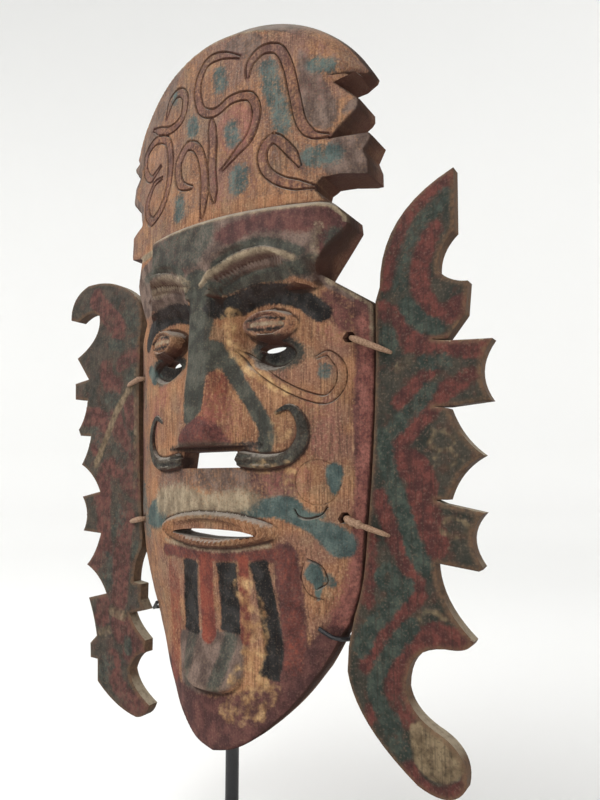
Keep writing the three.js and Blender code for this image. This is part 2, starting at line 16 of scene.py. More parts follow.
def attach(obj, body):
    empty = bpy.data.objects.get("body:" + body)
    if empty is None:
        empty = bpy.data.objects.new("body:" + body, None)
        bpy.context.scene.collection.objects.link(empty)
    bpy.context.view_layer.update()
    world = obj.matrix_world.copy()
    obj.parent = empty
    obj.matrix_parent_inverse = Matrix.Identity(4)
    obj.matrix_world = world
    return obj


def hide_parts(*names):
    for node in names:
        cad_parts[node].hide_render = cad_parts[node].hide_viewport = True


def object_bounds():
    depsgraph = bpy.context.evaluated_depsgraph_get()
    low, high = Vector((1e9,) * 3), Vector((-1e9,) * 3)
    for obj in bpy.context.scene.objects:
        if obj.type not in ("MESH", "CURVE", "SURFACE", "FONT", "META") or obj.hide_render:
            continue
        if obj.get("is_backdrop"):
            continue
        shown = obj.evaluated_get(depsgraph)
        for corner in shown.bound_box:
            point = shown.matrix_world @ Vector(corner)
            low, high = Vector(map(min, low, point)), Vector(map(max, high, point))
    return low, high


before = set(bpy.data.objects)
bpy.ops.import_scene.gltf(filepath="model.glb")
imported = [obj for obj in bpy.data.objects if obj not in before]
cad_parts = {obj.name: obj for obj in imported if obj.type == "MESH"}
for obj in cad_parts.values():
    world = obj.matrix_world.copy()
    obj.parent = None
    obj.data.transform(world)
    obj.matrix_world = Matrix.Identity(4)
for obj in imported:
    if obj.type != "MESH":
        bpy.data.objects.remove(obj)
cad_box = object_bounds()

# Where the mask sits above the base
MASK_AT = np.array([3.0, 13.0, 210.0])

# The log that the mask is cut from
MIDDLE_DEPTH = [(-127, 27), (-60, 26), (0, 33), (120, 37), (185, 40), (325, 36)]
BEND = [(-125, 65), (-100, 82), (-70, 107), (-46, 130), (-20, 146), (10, 150), (140, 150), (185, 220)]
SHELL = [(-125, 8), (-60, 11), (0, 13), (185, 15), (200, 22), (325, 22)]
RIM_BACK = 5

# Outline of the face and crest
JAW = [(0, -123), (13, -120), (24, -114.5), (35, -106), (44, -97.5), (52, -88.5), (59, -79), (65.5, -69.5),
       (73, -57), (80, -44.5), (86, -24), (89, 0)]
TEMPLE_WIDTH = 97
TEMPLE_HEIGHT = 129
DOME_CENTRE = 235
DOME_WIDTH = 108
DOME_RISE = 94
DOME_CHAMFER = 16
RIGHT_TEETH = [(73, 145), (84, 161), (91, 171), (91, 176.5), (84, 183.5), (76, 190), (73, 194), (73, 198),
               (77, 201.5), (86, 202.5), (101, 201), (101, 209), (98.5, 216), (103, 224), (101, 226.5),
               (80, 225), (96.5, 243.5), (96.5, 248), (82.5, 261), (99, 268)]
LEFT_TEETH = [(78, 141), (83, 160), (83, 168), (72, 184), (75, 185.5), (91, 190.5), (92, 208), (75, 211),
              (79, 222), (95, 236), (93, 248), (85, 252), (98, 265)]
BEVEL_FROM = 266

# Brow ledge under the crest
LEDGE_TOP = 184.5
LEDGE_FOOT = 138
LEDGE_FRONT = 51
LEDGE_RADIUS = 165
LEDGE_PLAN = [(-87, 2), (-40, 46.15), (77, 33), (100, 11)]

# Hollows under the brows: arch of their top, slope from its edge down to the floor, and limits
SOCKET_ARCH = [(10, 146), (20, 155), (32, 160), (43, 162), (54, 160), (64, 154), (76, 141)]
SOCKET_EDGE = 45
SOCKET_SLANT = 1.35
SOCKET_FLOOR = 26
SOCKET_BOTTOM = 86

# Brows, with hatching and a cut below them and a cut above them: offsets from the brow's line
BROW_LINE = [(4, 145), (13, 150.5), (27, 156), (41, 158), (54, 156.5), (64, 152)]
BROW_RISE = 2.6
BROW_HALF = 3.1
HATCHING = -4.2
HATCHES = 24
LOWER_CUT = -7.6
UPPER_CUT = 5.2

# Nose: height, half the width of the ridge, half the width of the foot, depth of the front
NOSE_LEVELS = [(49, 14, 38, 47), (72, 12.5, 29, 46.5), (95, 10, 20, 45), (122, 8.5, 14, 45),
               (153, 8, 11, 46)]
NOSE_BOTTOM = 49
NOSE_TOP = 160
NOSE_BRIDGE = 46
NOSE_TIP = {"x": 3, "z": 56, "wide": 15, "high": 9, "rise": 3.2}
NOSTRIL = [(-22, 36.5), (24, 36.5), (22, 46.5), (-20, 46.5)]

# Eyes and mouth as lenses, with levels from their middle to their edge
EYE = {"x": 43, "z": 118, "wide": 17, "high": 9.5}
EYE_LEVELS = [(0, 5), (0.3, 4.7), (0.48, 3.6), (0.56, 2.7), (0.62, 2.8), (0.7, 4.3), (0.8, 4), (0.98, -0.5),
              (1, -7)]
BOWL = {"x": 45, "z": 101, "wide": 17, "high": 9.5}
BOWL_LEVELS = [(0.7, 22), (1.25, 38), (3, 90)]
EYE_SLIT = {"x": 41, "z": 105.5, "wide": 8, "high": 2.2}
MOUTH = {"x": 1, "z": 0.5, "wide": 47, "high": 10.5}
MOUTH_LEVELS = [(0, 1.5), (0.5, 1.5), (0.66, 4), (0.86, 4), (0.99, 0.4), (1, -3)]
MOUTH_SLIT = {"x": 3, "z": -1.5, "wide": 31, "high": 2.7}
LIP_NOTCH = 0.85
LIP_NOTCH_STEP = 3.3
TONGUE = {"x": -3, "z": -75, "wide": 23, "high": 17, "rise": 6}
TONGUE_POWER = 2 / 0.7

# Curls beside the nose: middle line, size along it, height across it, and notches at the root
CURL_LINE = [(26, 41), (40, 39.5), (53, 42), (60, 51), (60, 62), (54, 70), (46, 67)]
CURL_TAPER = [(0, 1.35), (0.45, 1.05), (0.75, 0.8), (1, 0.3)]
CURL_PROFILE = [(0, 2.8), (1.8, 2.8), (2.8, 2.5), (3.3, 1.5), (3.6, -2)]
CURL_HALF = CURL_PROFILE[-1][0]
CURL_NOTCH = 0.7
CURL_NOTCH_STEP = 4.2

# Wear of the edges, and half the width of a cut line
EDGE_WEAR = 1.1
EDGE_WIDTH = 2.2
GROOVE_HALF = 0.9

# Painted bands between two cut lines: half the width between the lines, and the middle of the band
CREST_BANDS = [
    (3, [(-45, 279), (-40, 289), (-31, 292), (-24, 284), (-27, 271), (-41, 268), (-63, 279)]),
    (3, [(-49, 245), (-62, 241), (-72, 250), (-72, 264), (-57, 268), (-42, 260), (-37, 243), (-39, 224),
         (-47, 211), (-60, 208), (-67, 222), (-58, 234), (-47, 235)]),
    (3.2, [(-13, 216), (-25, 222), (-28, 237), (-20, 247), (-10, 242), (-4, 228), (-2, 209), (-3, 192)]),
    (3, [(23, 294), (8, 301), (-5, 300), (-12, 287), (-8, 269), (4, 262), (18, 266), (31, 264), (36, 252),
         (32, 237), (22, 228), (12, 220)]),
    (3.2, [(2, 258), (4, 240), (4, 222), (7, 200)]),
    (3.2, [(29, 277), (31, 287), (40, 293), (50, 290), (56, 277), (60, 258), (64, 239), (71, 229),
           (80, 227)]),
    (3.2, [(64, 210), (58, 221), (48, 231), (41, 224), (43, 212), (54, 202), (72, 196)]),
]
CHEEK_BAND = (2.4, [(20, 106), (31, 97), (46, 85), (60, 77), (72, 74), (79, 81), (80, 92), (74, 100),
                    (68, 98)])
CREST_CUT = 1.4
CHEEK_CUT = 1.2

# Single cut lines, each with its depth: ring on the cheek, crescent under it, leaf beside the chin
CUT_LINES = [
    (0.8, [(74, 38), (67, 40.5), (59, 37), (55.5, 28), (59, 19), (67, 15.5), (75, 19), (78.5, 27)]),
    (1.6, [(55, 13), (57, 9.5), (62, 8), (68, 10), (71, 14)]),
    (1.1, [(58, -16), (56, -24), (59, -33), (66, -36)]),
    (1.4, [(60, -14), (67, -18), (69, -26), (64, -30)]),
]

# Dark flutes under the lower lip: width and middle line
FLUTE_DEPTH = 1.1
FLUTES = [
    (13, [(-16.5, -18.5), (-18, -40), (-19, -61)]),
    (13, [(12, -18), (13, -40), (12, -57)]),
    (11, [(33, -16), (36, -34), (38, -54), (38, -68), (35, -80)]),
]

# Ear boards and ties
EAR_FRONT = -5
EAR_THICK = 8
EAR_GAP = 1.2
TIE_RADIUS = 2
TIE_HOLE = 2.6
TIE_HOLE_DEPTH = 6
TIES = {
    "tie_upper_right": ((85, 109), (107, 98.5)),
    "tie_lower_right": ((80, 8.5), (103, 0)),
    "tie_upper_left": ((-87, 103), (-108, 100)),
    "tie_lower_left": ((-81, 3), (-100, 0)),
}

# Radius of a splint along its length, plain or with knots
TAPERED = [(0, 1.4), (0.2, 2), (0.7, 1.8), (0.95, 1.3), (1.04, 0.9)]
KNOTTED = [(0, 1.4), (0.1, 2.5), (0.16, 1.7), (0.22, 2.7), (0.29, 1.8), (0.36, 2.6), (0.46, 1.3),
           (0.55, 1.7), (0.9, 1.4), (1.04, 0.9)]
KNOTTED_TIES = ["tie_lower_right"]

# How far distances to a painted shape are followed, and the thickness of paint that a bare back gets
FAR = 14.0
UNPAINTED = -6

# Spacing of the points of the meshes, and the areas of the mask where they lie closer
RIM_STEP = 1.3
COARSE_STEP = 1.4
FINE_STEP = 0.85
BACK_STEP = 5
EAR_RIM_STEP = 1.2
EAR_STEP = 1.6
SHARP_ANGLE = 48
FINE_AREAS = [(-60, 60, -14, 14), (-66, 66, 86, 134), (-70, 70, 34, 76), (-70, 70, 142, 172)]

# The photograph's camera, in metres and degrees
CAMERA_AT = (0.24163, -0.27843, 0.23986)
CAMERA_TURN = 33.77
CAMERA_TILT = 7.77
CAMERA_ROLL = 0.28
CAMERA_LENS = 26.03


# Helpers for drawn lines and shapes

def ramp(table, at):
    return np.interp(at, *zip(*table))


def smooth(low, high, at):
    share = np.clip((at - low) / (high - low), 0, 1)
    return share * share * (3 - 2 * share)


def evenly(line, spacing):
    """Points at an even spacing along a line."""
    line = np.asarray(line, float)
    run = np.concatenate([[0], np.cumsum(np.hypot(*np.diff(line, axis=0).T))])
    at = np.linspace(0, run[-1], max(2, round(run[-1] / spacing) + 1))
    return np.stack([np.interp(at, run, line[:, 0]), np.interp(at, run, line[:, 1])], 1)


def spline(points, spacing=1.5, closed=False):
    """A smooth line through the points."""
    p = np.asarray(points, float)
    p = np.vstack([p[-1], p, p[:2]]) if closed else np.vstack([p[0], p, p[-1]])
    t = np.linspace(0, 1, 16, endpoint=False)[:, None]
    runs = []
    for a, b, c, d in zip(p[:-3], p[1:-2], p[2:-1], p[3:]):
        bend = 2 * a - 5 * b + 4 * c - d
        twist = 3 * b - a - 3 * c + d
        runs.append(b + (c - a) * t / 2 + bend * t**2 / 2 + twist * t**3 / 2)
    return evenly(np.vstack([*runs, p[-2:-1]]), spacing)


def beside(line, offset):
    """The line moved sideways."""
    along = np.gradient(line, axis=0)
    along /= np.hypot(*along.T)[:, None]
    return line + offset * np.stack([-along[:, 1], along[:, 0]], 1)


def nearest(x, z, line):
    """Distance from each point to a line, and how far along the line that is, from 0 to 1."""
    away = np.full(x.shape, FAR)
    share = np.zeros(x.shape)
    low, high = line.min(0) - FAR, line.max(0) + FAR
    close = (x > low[0]) & (x < high[0]) & (z > low[1]) & (z < high[1])
    p = np.stack([x[close], z[close]], 1)
    best, at = away[close], share[close]
    for i, (a, b) in enumerate(zip(line[:-1], line[1:])):
        step = b - a
        t = np.clip((p - a) @ step / max(step @ step, 1e-9), 0, 1)
        d = np.hypot(*(p - a - t[:, None] * step).T)
        at = np.where(d < best, (i + t) / (len(line) - 1), at)
        best = np.minimum(best, d)
    away[close], share[close] = best, at
    return away, share


def within(x, z, loop):
    """Which points lie inside a closed loop."""
    found = np.zeros(x.shape, bool)
    for (ax, az), (bx, bz) in zip(loop, np.roll(loop, -1, axis=0)):
        if az != bz:
            found ^= ((az > z) != (bz > z)) & (x < ax + (z - az) * (bx - ax) / (bz - az))
    return found


def patch(x, z, points):
    """Distance into a rounded shape; negative outside it."""
    loop = spline(points, closed=True)
    away, _ = nearest(x, z, loop)
    return np.where(within(x, z, loop), away, -away)


def lens_share(x, z, part):
    """How far out a point is in a lens: 0 in its middle and 1 at its edge."""
    u, v = np.abs(x - part["x"]) / part["wide"], np.abs(z - part["z"]) / part["high"]
    low, high = np.full(x.shape, 1e-3), np.full(x.shape, 40.0)
    for _ in range(26):
        share = (low + high) / 2
        steep = (np.sqrt(0.72**2 + 1.12 * np.minimum(v / share, 1)) - 0.72) / 0.56
        outside = (u / share) ** 2 + steep**2 >= 1
        low, high = np.where(outside, share, low), np.where(outside, high, share)
    return share


def lens_loop(part, count):
    turn = np.linspace(0, 2 * np.pi, count, endpoint=False)
    rise = np.sin(turn) * (0.72 + 0.28 * np.abs(np.sin(turn)))
    return np.stack([part["x"] + part["wide"] * np.cos(turn), part["z"] + part["high"] * rise], 1)


def on_side(points, side):
    """A line of the right half, on the right (1) or mirrored to the left (-1)."""
    return [(side * x, z) for x, z in points]


def part_on_side(part, side):
    return {**part, "x": side * part["x"]}


# Outlines

def jaw_line():
    chin = spline(JAW, 3)
    share = np.linspace(0.1, 1, 10)
    width = JAW[-1][0] + (TEMPLE_WIDTH - JAW[-1][0]) * (1 - (1 - share) ** 2)
    return np.vstack([chin, np.stack([width, TEMPLE_HEIGHT * share], 1)])


def mask_outline():
    turn = np.linspace(0.385, np.pi - 0.385, 60)
    dome = np.stack([DOME_WIDTH * np.cos(turn), DOME_CENTRE + DOME_RISE * np.sin(turn)], 1)
    right = np.vstack([jaw_line(), RIGHT_TEETH])
    left = np.vstack([jaw_line()[1:], LEFT_TEETH])[::-1] * [-1, 1]
    return np.vstack([right, dome, left])


def drawn(start, *steps):
    """A loop of straight steps (x, z) and curved steps (bend x, bend z, x, z)."""
    line = [np.array([start], float)]
    for step in steps:
        last, end = line[-1][-1], np.array(step[-2:], float)
        if len(step) == 2:
            line.append(end[None])
            continue
        t = np.linspace(0.1, 1, 10)[:, None]
        line.append((1 - t) ** 2 * last + 2 * t * (1 - t) * np.array(step[:2], float) + t**2 * end)
    return np.vstack(line)


def right_ear():
    edge = [(x + EAR_GAP, z) for x, z in jaw_line() if z > -46]
    return drawn(
        (146, 195), (145, 160), (135, 152, 135, 140), (141, 132, 151, 131), (149, 114), (139, 102),
        (131, 102.5), (139, 101), (162, 99), (150, 84, 160, 68), (138, 66.5), (130, 67), (138, 65.5),
        (143, 50, 155, 41),
        (141, 34, 136, 19), (129, 19), (134, 17), (154, 13), (142, 1, 152, -13), (150, -15), (128, -12.5),
        (128, -32, 146, -48), (144, -53, 136, -53.5), (111, -53, 110, -76), (112, -88, 128, -94),
        (143, -101, 139, -116), (132, -127, 115, -120), (81, -98, 76.5, -73), (77.5, -60), *edge,
        (101, 137), (102, 180, 146, 195),
    )[:-1][::-1]


def left_ear():
    edge = [(-x - EAR_GAP, z) for x, z in jaw_line() if z > -12]
    return drawn(
        (-99, 134), (-94, 158, -103, 168), (-127, 190, -164, 189), (-187, 183, -185, 163), (-175, 160),
        (-158, 169, -148, 161), (-143, 142, -174, 129), (-158, 110), (-175, 108), (-174, 95), (-158, 93),
        (-160, 78, -168, 70), (-165, 65), (-152, 64), (-154, 52, -162, 42), (-146, 35, -138, 21),
        (-159, 17),
        (-148, 4, -156, -9), (-135, -10), (-140, -26, -150, -34), (-134, -40, -126, -53), (-146, -58),
        (-138, -72, -135, -84), (-142, -90), (-141, -100), (-133, -100), (-132, -115),
        (-112, -129, -90, -131), (-80, -130, -77, -121), (-95, -113, -98, -102), (-94, -90, -83, -88),
        (-83, -80), (-96, -72, -100, -64), (-84, -60), (-89, -53), (-89, -43), (-97, -42),
        (-97, -28, -89.5, -18), *edge,
    )


# Carving of the mask

def log_front(x, z):
    radius = ramp(BEND, z)
    drop = radius - np.sqrt((radius**2 - x**2).clip(0))
    return np.maximum(ramp(MIDDLE_DEPTH, z) - drop, 2 - RIM_BACK)


def adze_marks(x, z):
    """Shallow unevenness that hand tools leave."""
    broad = np.sin(x / 7.3 + 1.7 * np.sin(z / 23)) * np.sin(z / 14.1 + 1.3 * np.sin(x / 19))
    return 0.22 * broad + 0.1 * np.sin(x / 3.1 + 2 * np.sin(z / 37))


def bevel_width(x, z):
    """Width of the bevel round the dome."""
    turn = np.arctan2((z - DOME_CENTRE) / DOME_RISE, x / DOME_WIDTH)
    return np.where(z > BEVEL_FROM, DOME_CHAMFER * (0.3 + 0.7 * np.sin(turn)), 0)


def ledge_front(x):
    bow = LEDGE_FRONT - x**2 / (2 * LEDGE_RADIUS)
    flank = ramp(LEDGE_PLAN, x)
    return np.where((x > LEDGE_PLAN[1][0]) & (x < LEDGE_PLAN[2][0]), bow, flank)


def nose_sizes(z):
    """Half the width of the nose's ridge and of its foot, and the depth of its front, at a height."""
    heights, *columns = np.array(NOSE_LEVELS, float).T
    return [np.interp(z, heights, column) for column in columns]


def nose_front(x, z):
    ridge, foot, front = nose_sizes(z)
    skirt = log_front(foot, z) - 1
    x = np.abs(x)
    slope = np.clip((x - ridge) / (foot - ridge), 0, 1)
    side = front - 2 + (skirt - front + 2) * (slope + 0.12 * np.sin(np.pi * slope))
    top = front - 2 * np.clip((x - ridge + 4) / 4, 0, 1) ** 2
    inside = (x < foot) & (z > NOSE_BOTTOM) & (z < NOSE_TOP)
    return np.where(inside, np.where(x < ridge, top, side), -99)


def brow_curves(side):
    line = spline(on_side(BROW_LINE, side), 1.2)
    return line, beside(line, UPPER_CUT * side)


def curl_size(along):
    """The curls beside the nose get thinner from their root to their tip."""
    return ramp(CURL_TAPER, along)


def steep_edges():
    """Lines along which the carved front drops away, so that the mesh follows them."""
    height = np.arange(84, 150, 1.0)
    _, foot, _ = nose_sizes(height)
    for side in (1, -1):
        for offset in (-0.3, 0.3):
            yield np.stack([side * (foot + offset), height], 1)
        for share in (0.9, 1.0):
            eye = {**EYE, "x": side * EYE["x"], "wide": EYE["wide"] * share, "high": EYE["high"] * share}
            yield lens_loop(eye, 70)
        across = np.arange(-8, 8.5, 0.7)
        for rise in (-3.1, -1.9, -0.7, 0.7, 1.9, 3.1):
            yield np.stack([side * (EYE["x"] + across), np.full(len(across), EYE["z"] + rise)], 1)
        curl = spline(on_side(CURL_LINE, side), 0.9)
        size = curl_size(np.linspace(0, 1, len(curl)))[:, None]
        for offset in (-3.6, -2.9, -1.8, 0, 1.8, 2.9, 3.6):
            yield curl + (beside(curl, offset) - curl) * size
    for share in (0.93, 1.0):
        yield lens_loop({**MOUTH, "wide": MOUTH["wide"] * share, "high": MOUTH["high"] * share}, 150)


def scroll_edges():
    """Every cut line of the carving with its depth; the two lines of a band meet at its ends."""
    bands = [(*band, CREST_CUT) for band in CREST_BANDS] + [(*CHEEK_BAND, CHEEK_CUT)]
    for half, points, depth in bands:
        middle = spline(points, 1.1)
        share = np.linspace(0, 1, len(middle))
        taper = np.interp(np.minimum(share, 1 - share), [0, 0.12], [0.3, 1])[:, None]
        for side in (half, -half):
            yield middle + (beside(middle, side) - middle) * taper, depth
    for depth, points in CUT_LINES:
        yield spline(points, 1.1), depth


def raised(front, where, level):
    """The front built up to a level in some places."""
    return np.where(where, np.maximum(front, level), front)


def with_ledge(front, log, x, z):
    """The brow ledge with its rounded top edge; its right end slopes to the temple."""
    below_top = LEDGE_TOP - z
    ledge = ledge_front(x) - np.clip(3 - below_top, 0, 3) - 0.5 * np.clip(5 - below_top, 0, 2) ** 2 / 4
    ledge = ledge + (log - ledge).clip(None, 0) * smooth(58, 72, x) * smooth(156, 139, z)
    middle = smooth(16, 9, np.abs(x))
    ledge = ledge + middle * (NOSE_BRIDGE - ledge) * smooth(160, 140, z)
    on_ledge = (z > LEDGE_FOOT) & (z < LEDGE_TOP)
    return raised(front, on_ledge, ledge + 0.5 * adze_marks(z, x))


def with_sockets(front, log, x, z):
    """Hollows under the brows."""
    across = np.abs(x)
    top = ramp(SOCKET_ARCH, across)
    floor = np.maximum(SOCKET_FLOOR, SOCKET_EDGE - (top - z) / SOCKET_SLANT)
    foot = SOCKET_FLOOR + (log - SOCKET_FLOOR) * smooth(104, 88, z)
    hollow = np.maximum(floor, foot)
    _, nose_foot, _ = nose_sizes(z)
    hollow = hollow + (log - 1 - hollow).clip(0) * smooth(nose_foot + 9, nose_foot, across)
    hollow = hollow + (front - hollow).clip(0) * smooth(13.5, 9, across)
    inner, outer = SOCKET_ARCH[0][0], SOCKET_ARCH[-1][0]
    under_brow = (across > inner) & (across < outer) & (z > SOCKET_BOTTOM) & (z < top + 14)
    return np.where(under_brow, np.minimum(front, hollow), front)


def with_mouth(front, log, x, z):
    """Notched lips, the tongue and the flutes beside it."""
    lip = lens_share(x, z, MOUTH)
    notches = LIP_NOTCH * np.sin(2 * np.pi * (x + 0.5 * np.abs(z)) / LIP_NOTCH_STEP)
    notches = notches * smooth(0.6, 0.68, lip) * smooth(0.97, 0.88, lip)
    front = raised(front, lip < 1, log + ramp(MOUTH_LEVELS, lip) + notches)
    u = np.abs((x - TONGUE["x"]) / TONGUE["wide"])
    v = (z - TONGUE["z"]) / TONGUE["high"]
    round_off = u**TONGUE_POWER + np.abs(v) ** TONGUE_POWER
    swell = TONGUE["rise"] * (0.5 - 0.5 * v) * smooth(1.02, 0.55, round_off)
    front = raised(front, round_off < 1.02, log + swell)
    for width, points in FLUTES:
        away, along = nearest(x, z, spline(points))
        front = front - FLUTE_DEPTH * smooth(width / 2, width / 2 - 2.5, away) * smooth(1, 0.6, along)
    return front


def with_nose_tip(front, x, z):
    u = (x - NOSE_TIP["x"]) / NOSE_TIP["wide"]
    v = (z - NOSE_TIP["z"]) / NOSE_TIP["high"]
    tip = np.exp(-(u**2) - v**2)
    rounding = 5 * np.clip(1 - (z - NOSE_BOTTOM) / 5, 0, 1) ** 2 * tip
    return np.where(z > NOSE_BOTTOM, front + NOSE_TIP["rise"] * tip - rounding, front)


def with_eye_and_curl(front, log, x, z, side):
    """Eyelid, brow, curl beside the nose and bowl under the eyelid, on one side of the face."""
    here = x * side > 0
    share = lens_share(x, z, part_on_side(EYE, side))
    front = raised(front, share < 1, log + ramp(EYE_LEVELS, share))
    line, crescent = brow_curves(side)
    away, along = nearest(x, z, line)
    size = 0.35 + 0.65 * np.sin(np.pi * along.clip(0.03, 0.97))
    ridge = BROW_RISE * size * np.sqrt((1 - (away / (BROW_HALF * size)) ** 2).clip(0))
    front = front + np.where(here, ridge, 0)
    # Hatching under the brow, a cut under that, and a cut above the brow
    away, along = nearest(x, z, beside(line, HATCHING * side))
    front = front + 0.4 * np.sin(2 * np.pi * along * HATCHES) * smooth(2.6, 1.4, away) * here
    away, along = nearest(x, z, beside(line, LOWER_CUT * side))
    front = front - 0.9 * smooth(1.6, 0, away) * np.sin(np.pi * along) * here
    sunk, along = nearest(x, z, crescent)
    front = front - 1.3 * smooth(3.4, 0, sunk) * np.sin(np.pi * along) * here
    away, along = nearest(x, z, spline(on_side(CURL_LINE, side)))
    size = curl_size(along)
    rise = size * ramp(CURL_PROFILE, away / size)
    notches = CURL_NOTCH * np.cos(2 * np.pi * (z - CURL_LINE[0][1]) / CURL_NOTCH_STEP)
    notches = notches * smooth(54, 44, np.abs(x)) * smooth(0.42, 0.3, along)
    front = raised(front, away < CURL_HALF * size, log + rise + notches)
    bowl = lens_share(x, z, part_on_side(BOWL, side))
    return np.minimum(front, np.where(bowl < 2, ramp(BOWL_LEVELS, bowl), 99))


def with_worn_edges(front, log, x, z, rim):
    """The bevel round the dome, which rolls over on the right, and worn edges."""
    bevel = bevel_width(x, z)
    past = np.clip(bevel - rim, 0, None)
    rolled = past + smooth(38, 78, x) * (past**2 / np.maximum(bevel, 1) - past)
    front = np.minimum(front, log - rolled + np.where(bevel > 0, 0.2, 99))
    return front - EDGE_WEAR * ((1 - rim / EDGE_WIDTH).clip(0)) ** 2


def with_cuts(front, x, z):
    """Cut lines and the holes of the ties."""
    for line, depth in scroll_edges():
        away, _ = nearest(x, z, line)
        front = front - depth * (1 - away / GROOVE_HALF).clip(0)
    for face, _ in TIES.values():
        front = front - TIE_HOLE_DEPTH * (np.hypot(x - face[0], z - face[1]) < TIE_HOLE)
    return front


def carved_front(x, z, rim):
    """Depth of the carved front; rim is the distance to the outline."""
    log = log_front(x, z)
    front = with_ledge(log + adze_marks(x, z), log, x, z)
    front = with_sockets(front, log, x, z)
    front = np.maximum(front, nose_front(x, z))
    front = with_mouth(front, log, x, z)
    front = with_nose_tip(front, x, z)
    for side in (1, -1):
        front = with_eye_and_curl(front, log, x, z, side)
    front = with_worn_edges(front, log, x, z, rim)
    return with_cuts(front, x, z)


# Building meshes from outlines

def hex_grid(low, high, spacing):
    rows = np.arange(low[1], high[1], spacing * math.sqrt(3) / 2)
    columns = np.arange(low[0], high[0], spacing)
    x, z = np.meshgrid(columns, rows)
    x = x + (np.arange(len(rows)) % 2)[:, None] * spacing / 2
    return np.stack([x.ravel(), z.ravel()], 1)


def tree_of(points):
    tree = KDTree(len(points))
    for i, (x, z) in enumerate(points):
        tree.insert((x, z, 0), i)
    tree.balance()
    return tree


def clearance(points, others):
    """Distance from each point to the nearest of the others."""
    tree = tree_of(others)
    return np.array([tree.find((x, z, 0))[2] for x, z in points])


def closed_evenly(loop, spacing):
    """A closed loop as points at about an even spacing that keep its corners."""
    sides = [evenly([a, b], spacing)[:-1] for a, b in zip(loop, np.roll(loop, -1, axis=0))]
    return np.vstack(sides)


def inside_loops(points, loops):
    x, z = points.T
    found = within(x, z, loops[0])
    for hole in loops[1:]:
        found &= ~within(x, z, hole)
    return points[found]


def triangulated(loops, inner):
    """Triangles over a shape with holes: the points of its loops, then the loose points inside it."""
    points = np.vstack([*loops, inner])
    edges = []
    for loop, first in zip(loops, np.cumsum([0, *[len(loop) for loop in loops]])):
        first, count = int(first), len(loop)
        edges += [(first + i, first + (i + 1) % count) for i in range(count)]
    made, _, faces, *_ = delaunay_2d_cdt([Vector(p) for p in points], edges, [], 1, 1e-6)
    made, faces = np.array([p[:] for p in made]), np.array(faces)
    x, z = made[faces].mean(axis=1).T
    for hole in loops[1:]:
        open_there = within(x, z, hole)
        faces, x, z = faces[~open_there], x[~open_there], z[~open_there]
    return made, [tuple(int(i) for i in face) for face in faces]


def mesh_piece(name, points, faces):
    """A smooth mesh in the scene, from points in metres."""
    mesh = bpy.data.meshes.new(name)
    mesh.from_pydata(points, [], faces)
    mesh.validate()
    mesh.polygons.foreach_set("use_smooth", [True] * len(mesh.polygons))
    piece = bpy.data.objects.new(name, mesh)
    bpy.context.scene.collection.objects.link(piece)
    return piece


def in_metres(points):
    """Points of the mask, in the frame."""
    return ((points + MASK_AT) / 1000).tolist()


def ring_walls(rings, count):
    """The faces between the rings of a tube, with the same count of points in each ring."""
    for ring in range(rings - 1):
        for i in range(count):
            a, b = ring * count + i, ring * count + (i + 1) % count
            yield b, a, a + count, b + count


def carved_board(name, loops, inner, inner_back, front_of, back_of):
    """A closed mesh between a carved front and a plainer back over the same outline."""
    front, faces = triangulated(loops, inner)
    back, back_faces = triangulated(loops, inner_back)
    points = np.vstack([
        np.stack([front[:, 0], front_of(*front.T), front[:, 1]], 1),
        np.stack([back[:, 0], back_of(*back.T), back[:, 1]], 1),
    ])
    shift = len(front)
    faces = faces + [tuple(shift + i for i in face[::-1]) for face in back_faces]
    for loop, first in zip(loops, np.cumsum([0, *[len(loop) for loop in loops]])):
        ring = [int(first) + i for i in range(len(loop))]
        faces += [(b, a, a + shift, b + shift) for a, b in zip(ring, ring[1:] + ring[:1])]
    piece = mesh_piece(name, in_metres(points), faces)
    piece.data.set_sharp_from_angle(angle=math.radians(SHARP_ANGLE))
    return piece, front


def add_field(piece, name, values, behind=0.0):
    """A number at each point of a piece's front, and one number for the rest of it."""
    mesh = piece.data
    field = np.full(len(mesh.vertices), behind, np.float32)
    field[: len(values)] = values
    mesh.attributes.new(name, "FLOAT", "POINT").data.foreach_set("value", field)


def level_line(first, last, step, height):
    across = np.arange(first, last, step)
    return np.stack([across, np.full(len(across), height)], 1)


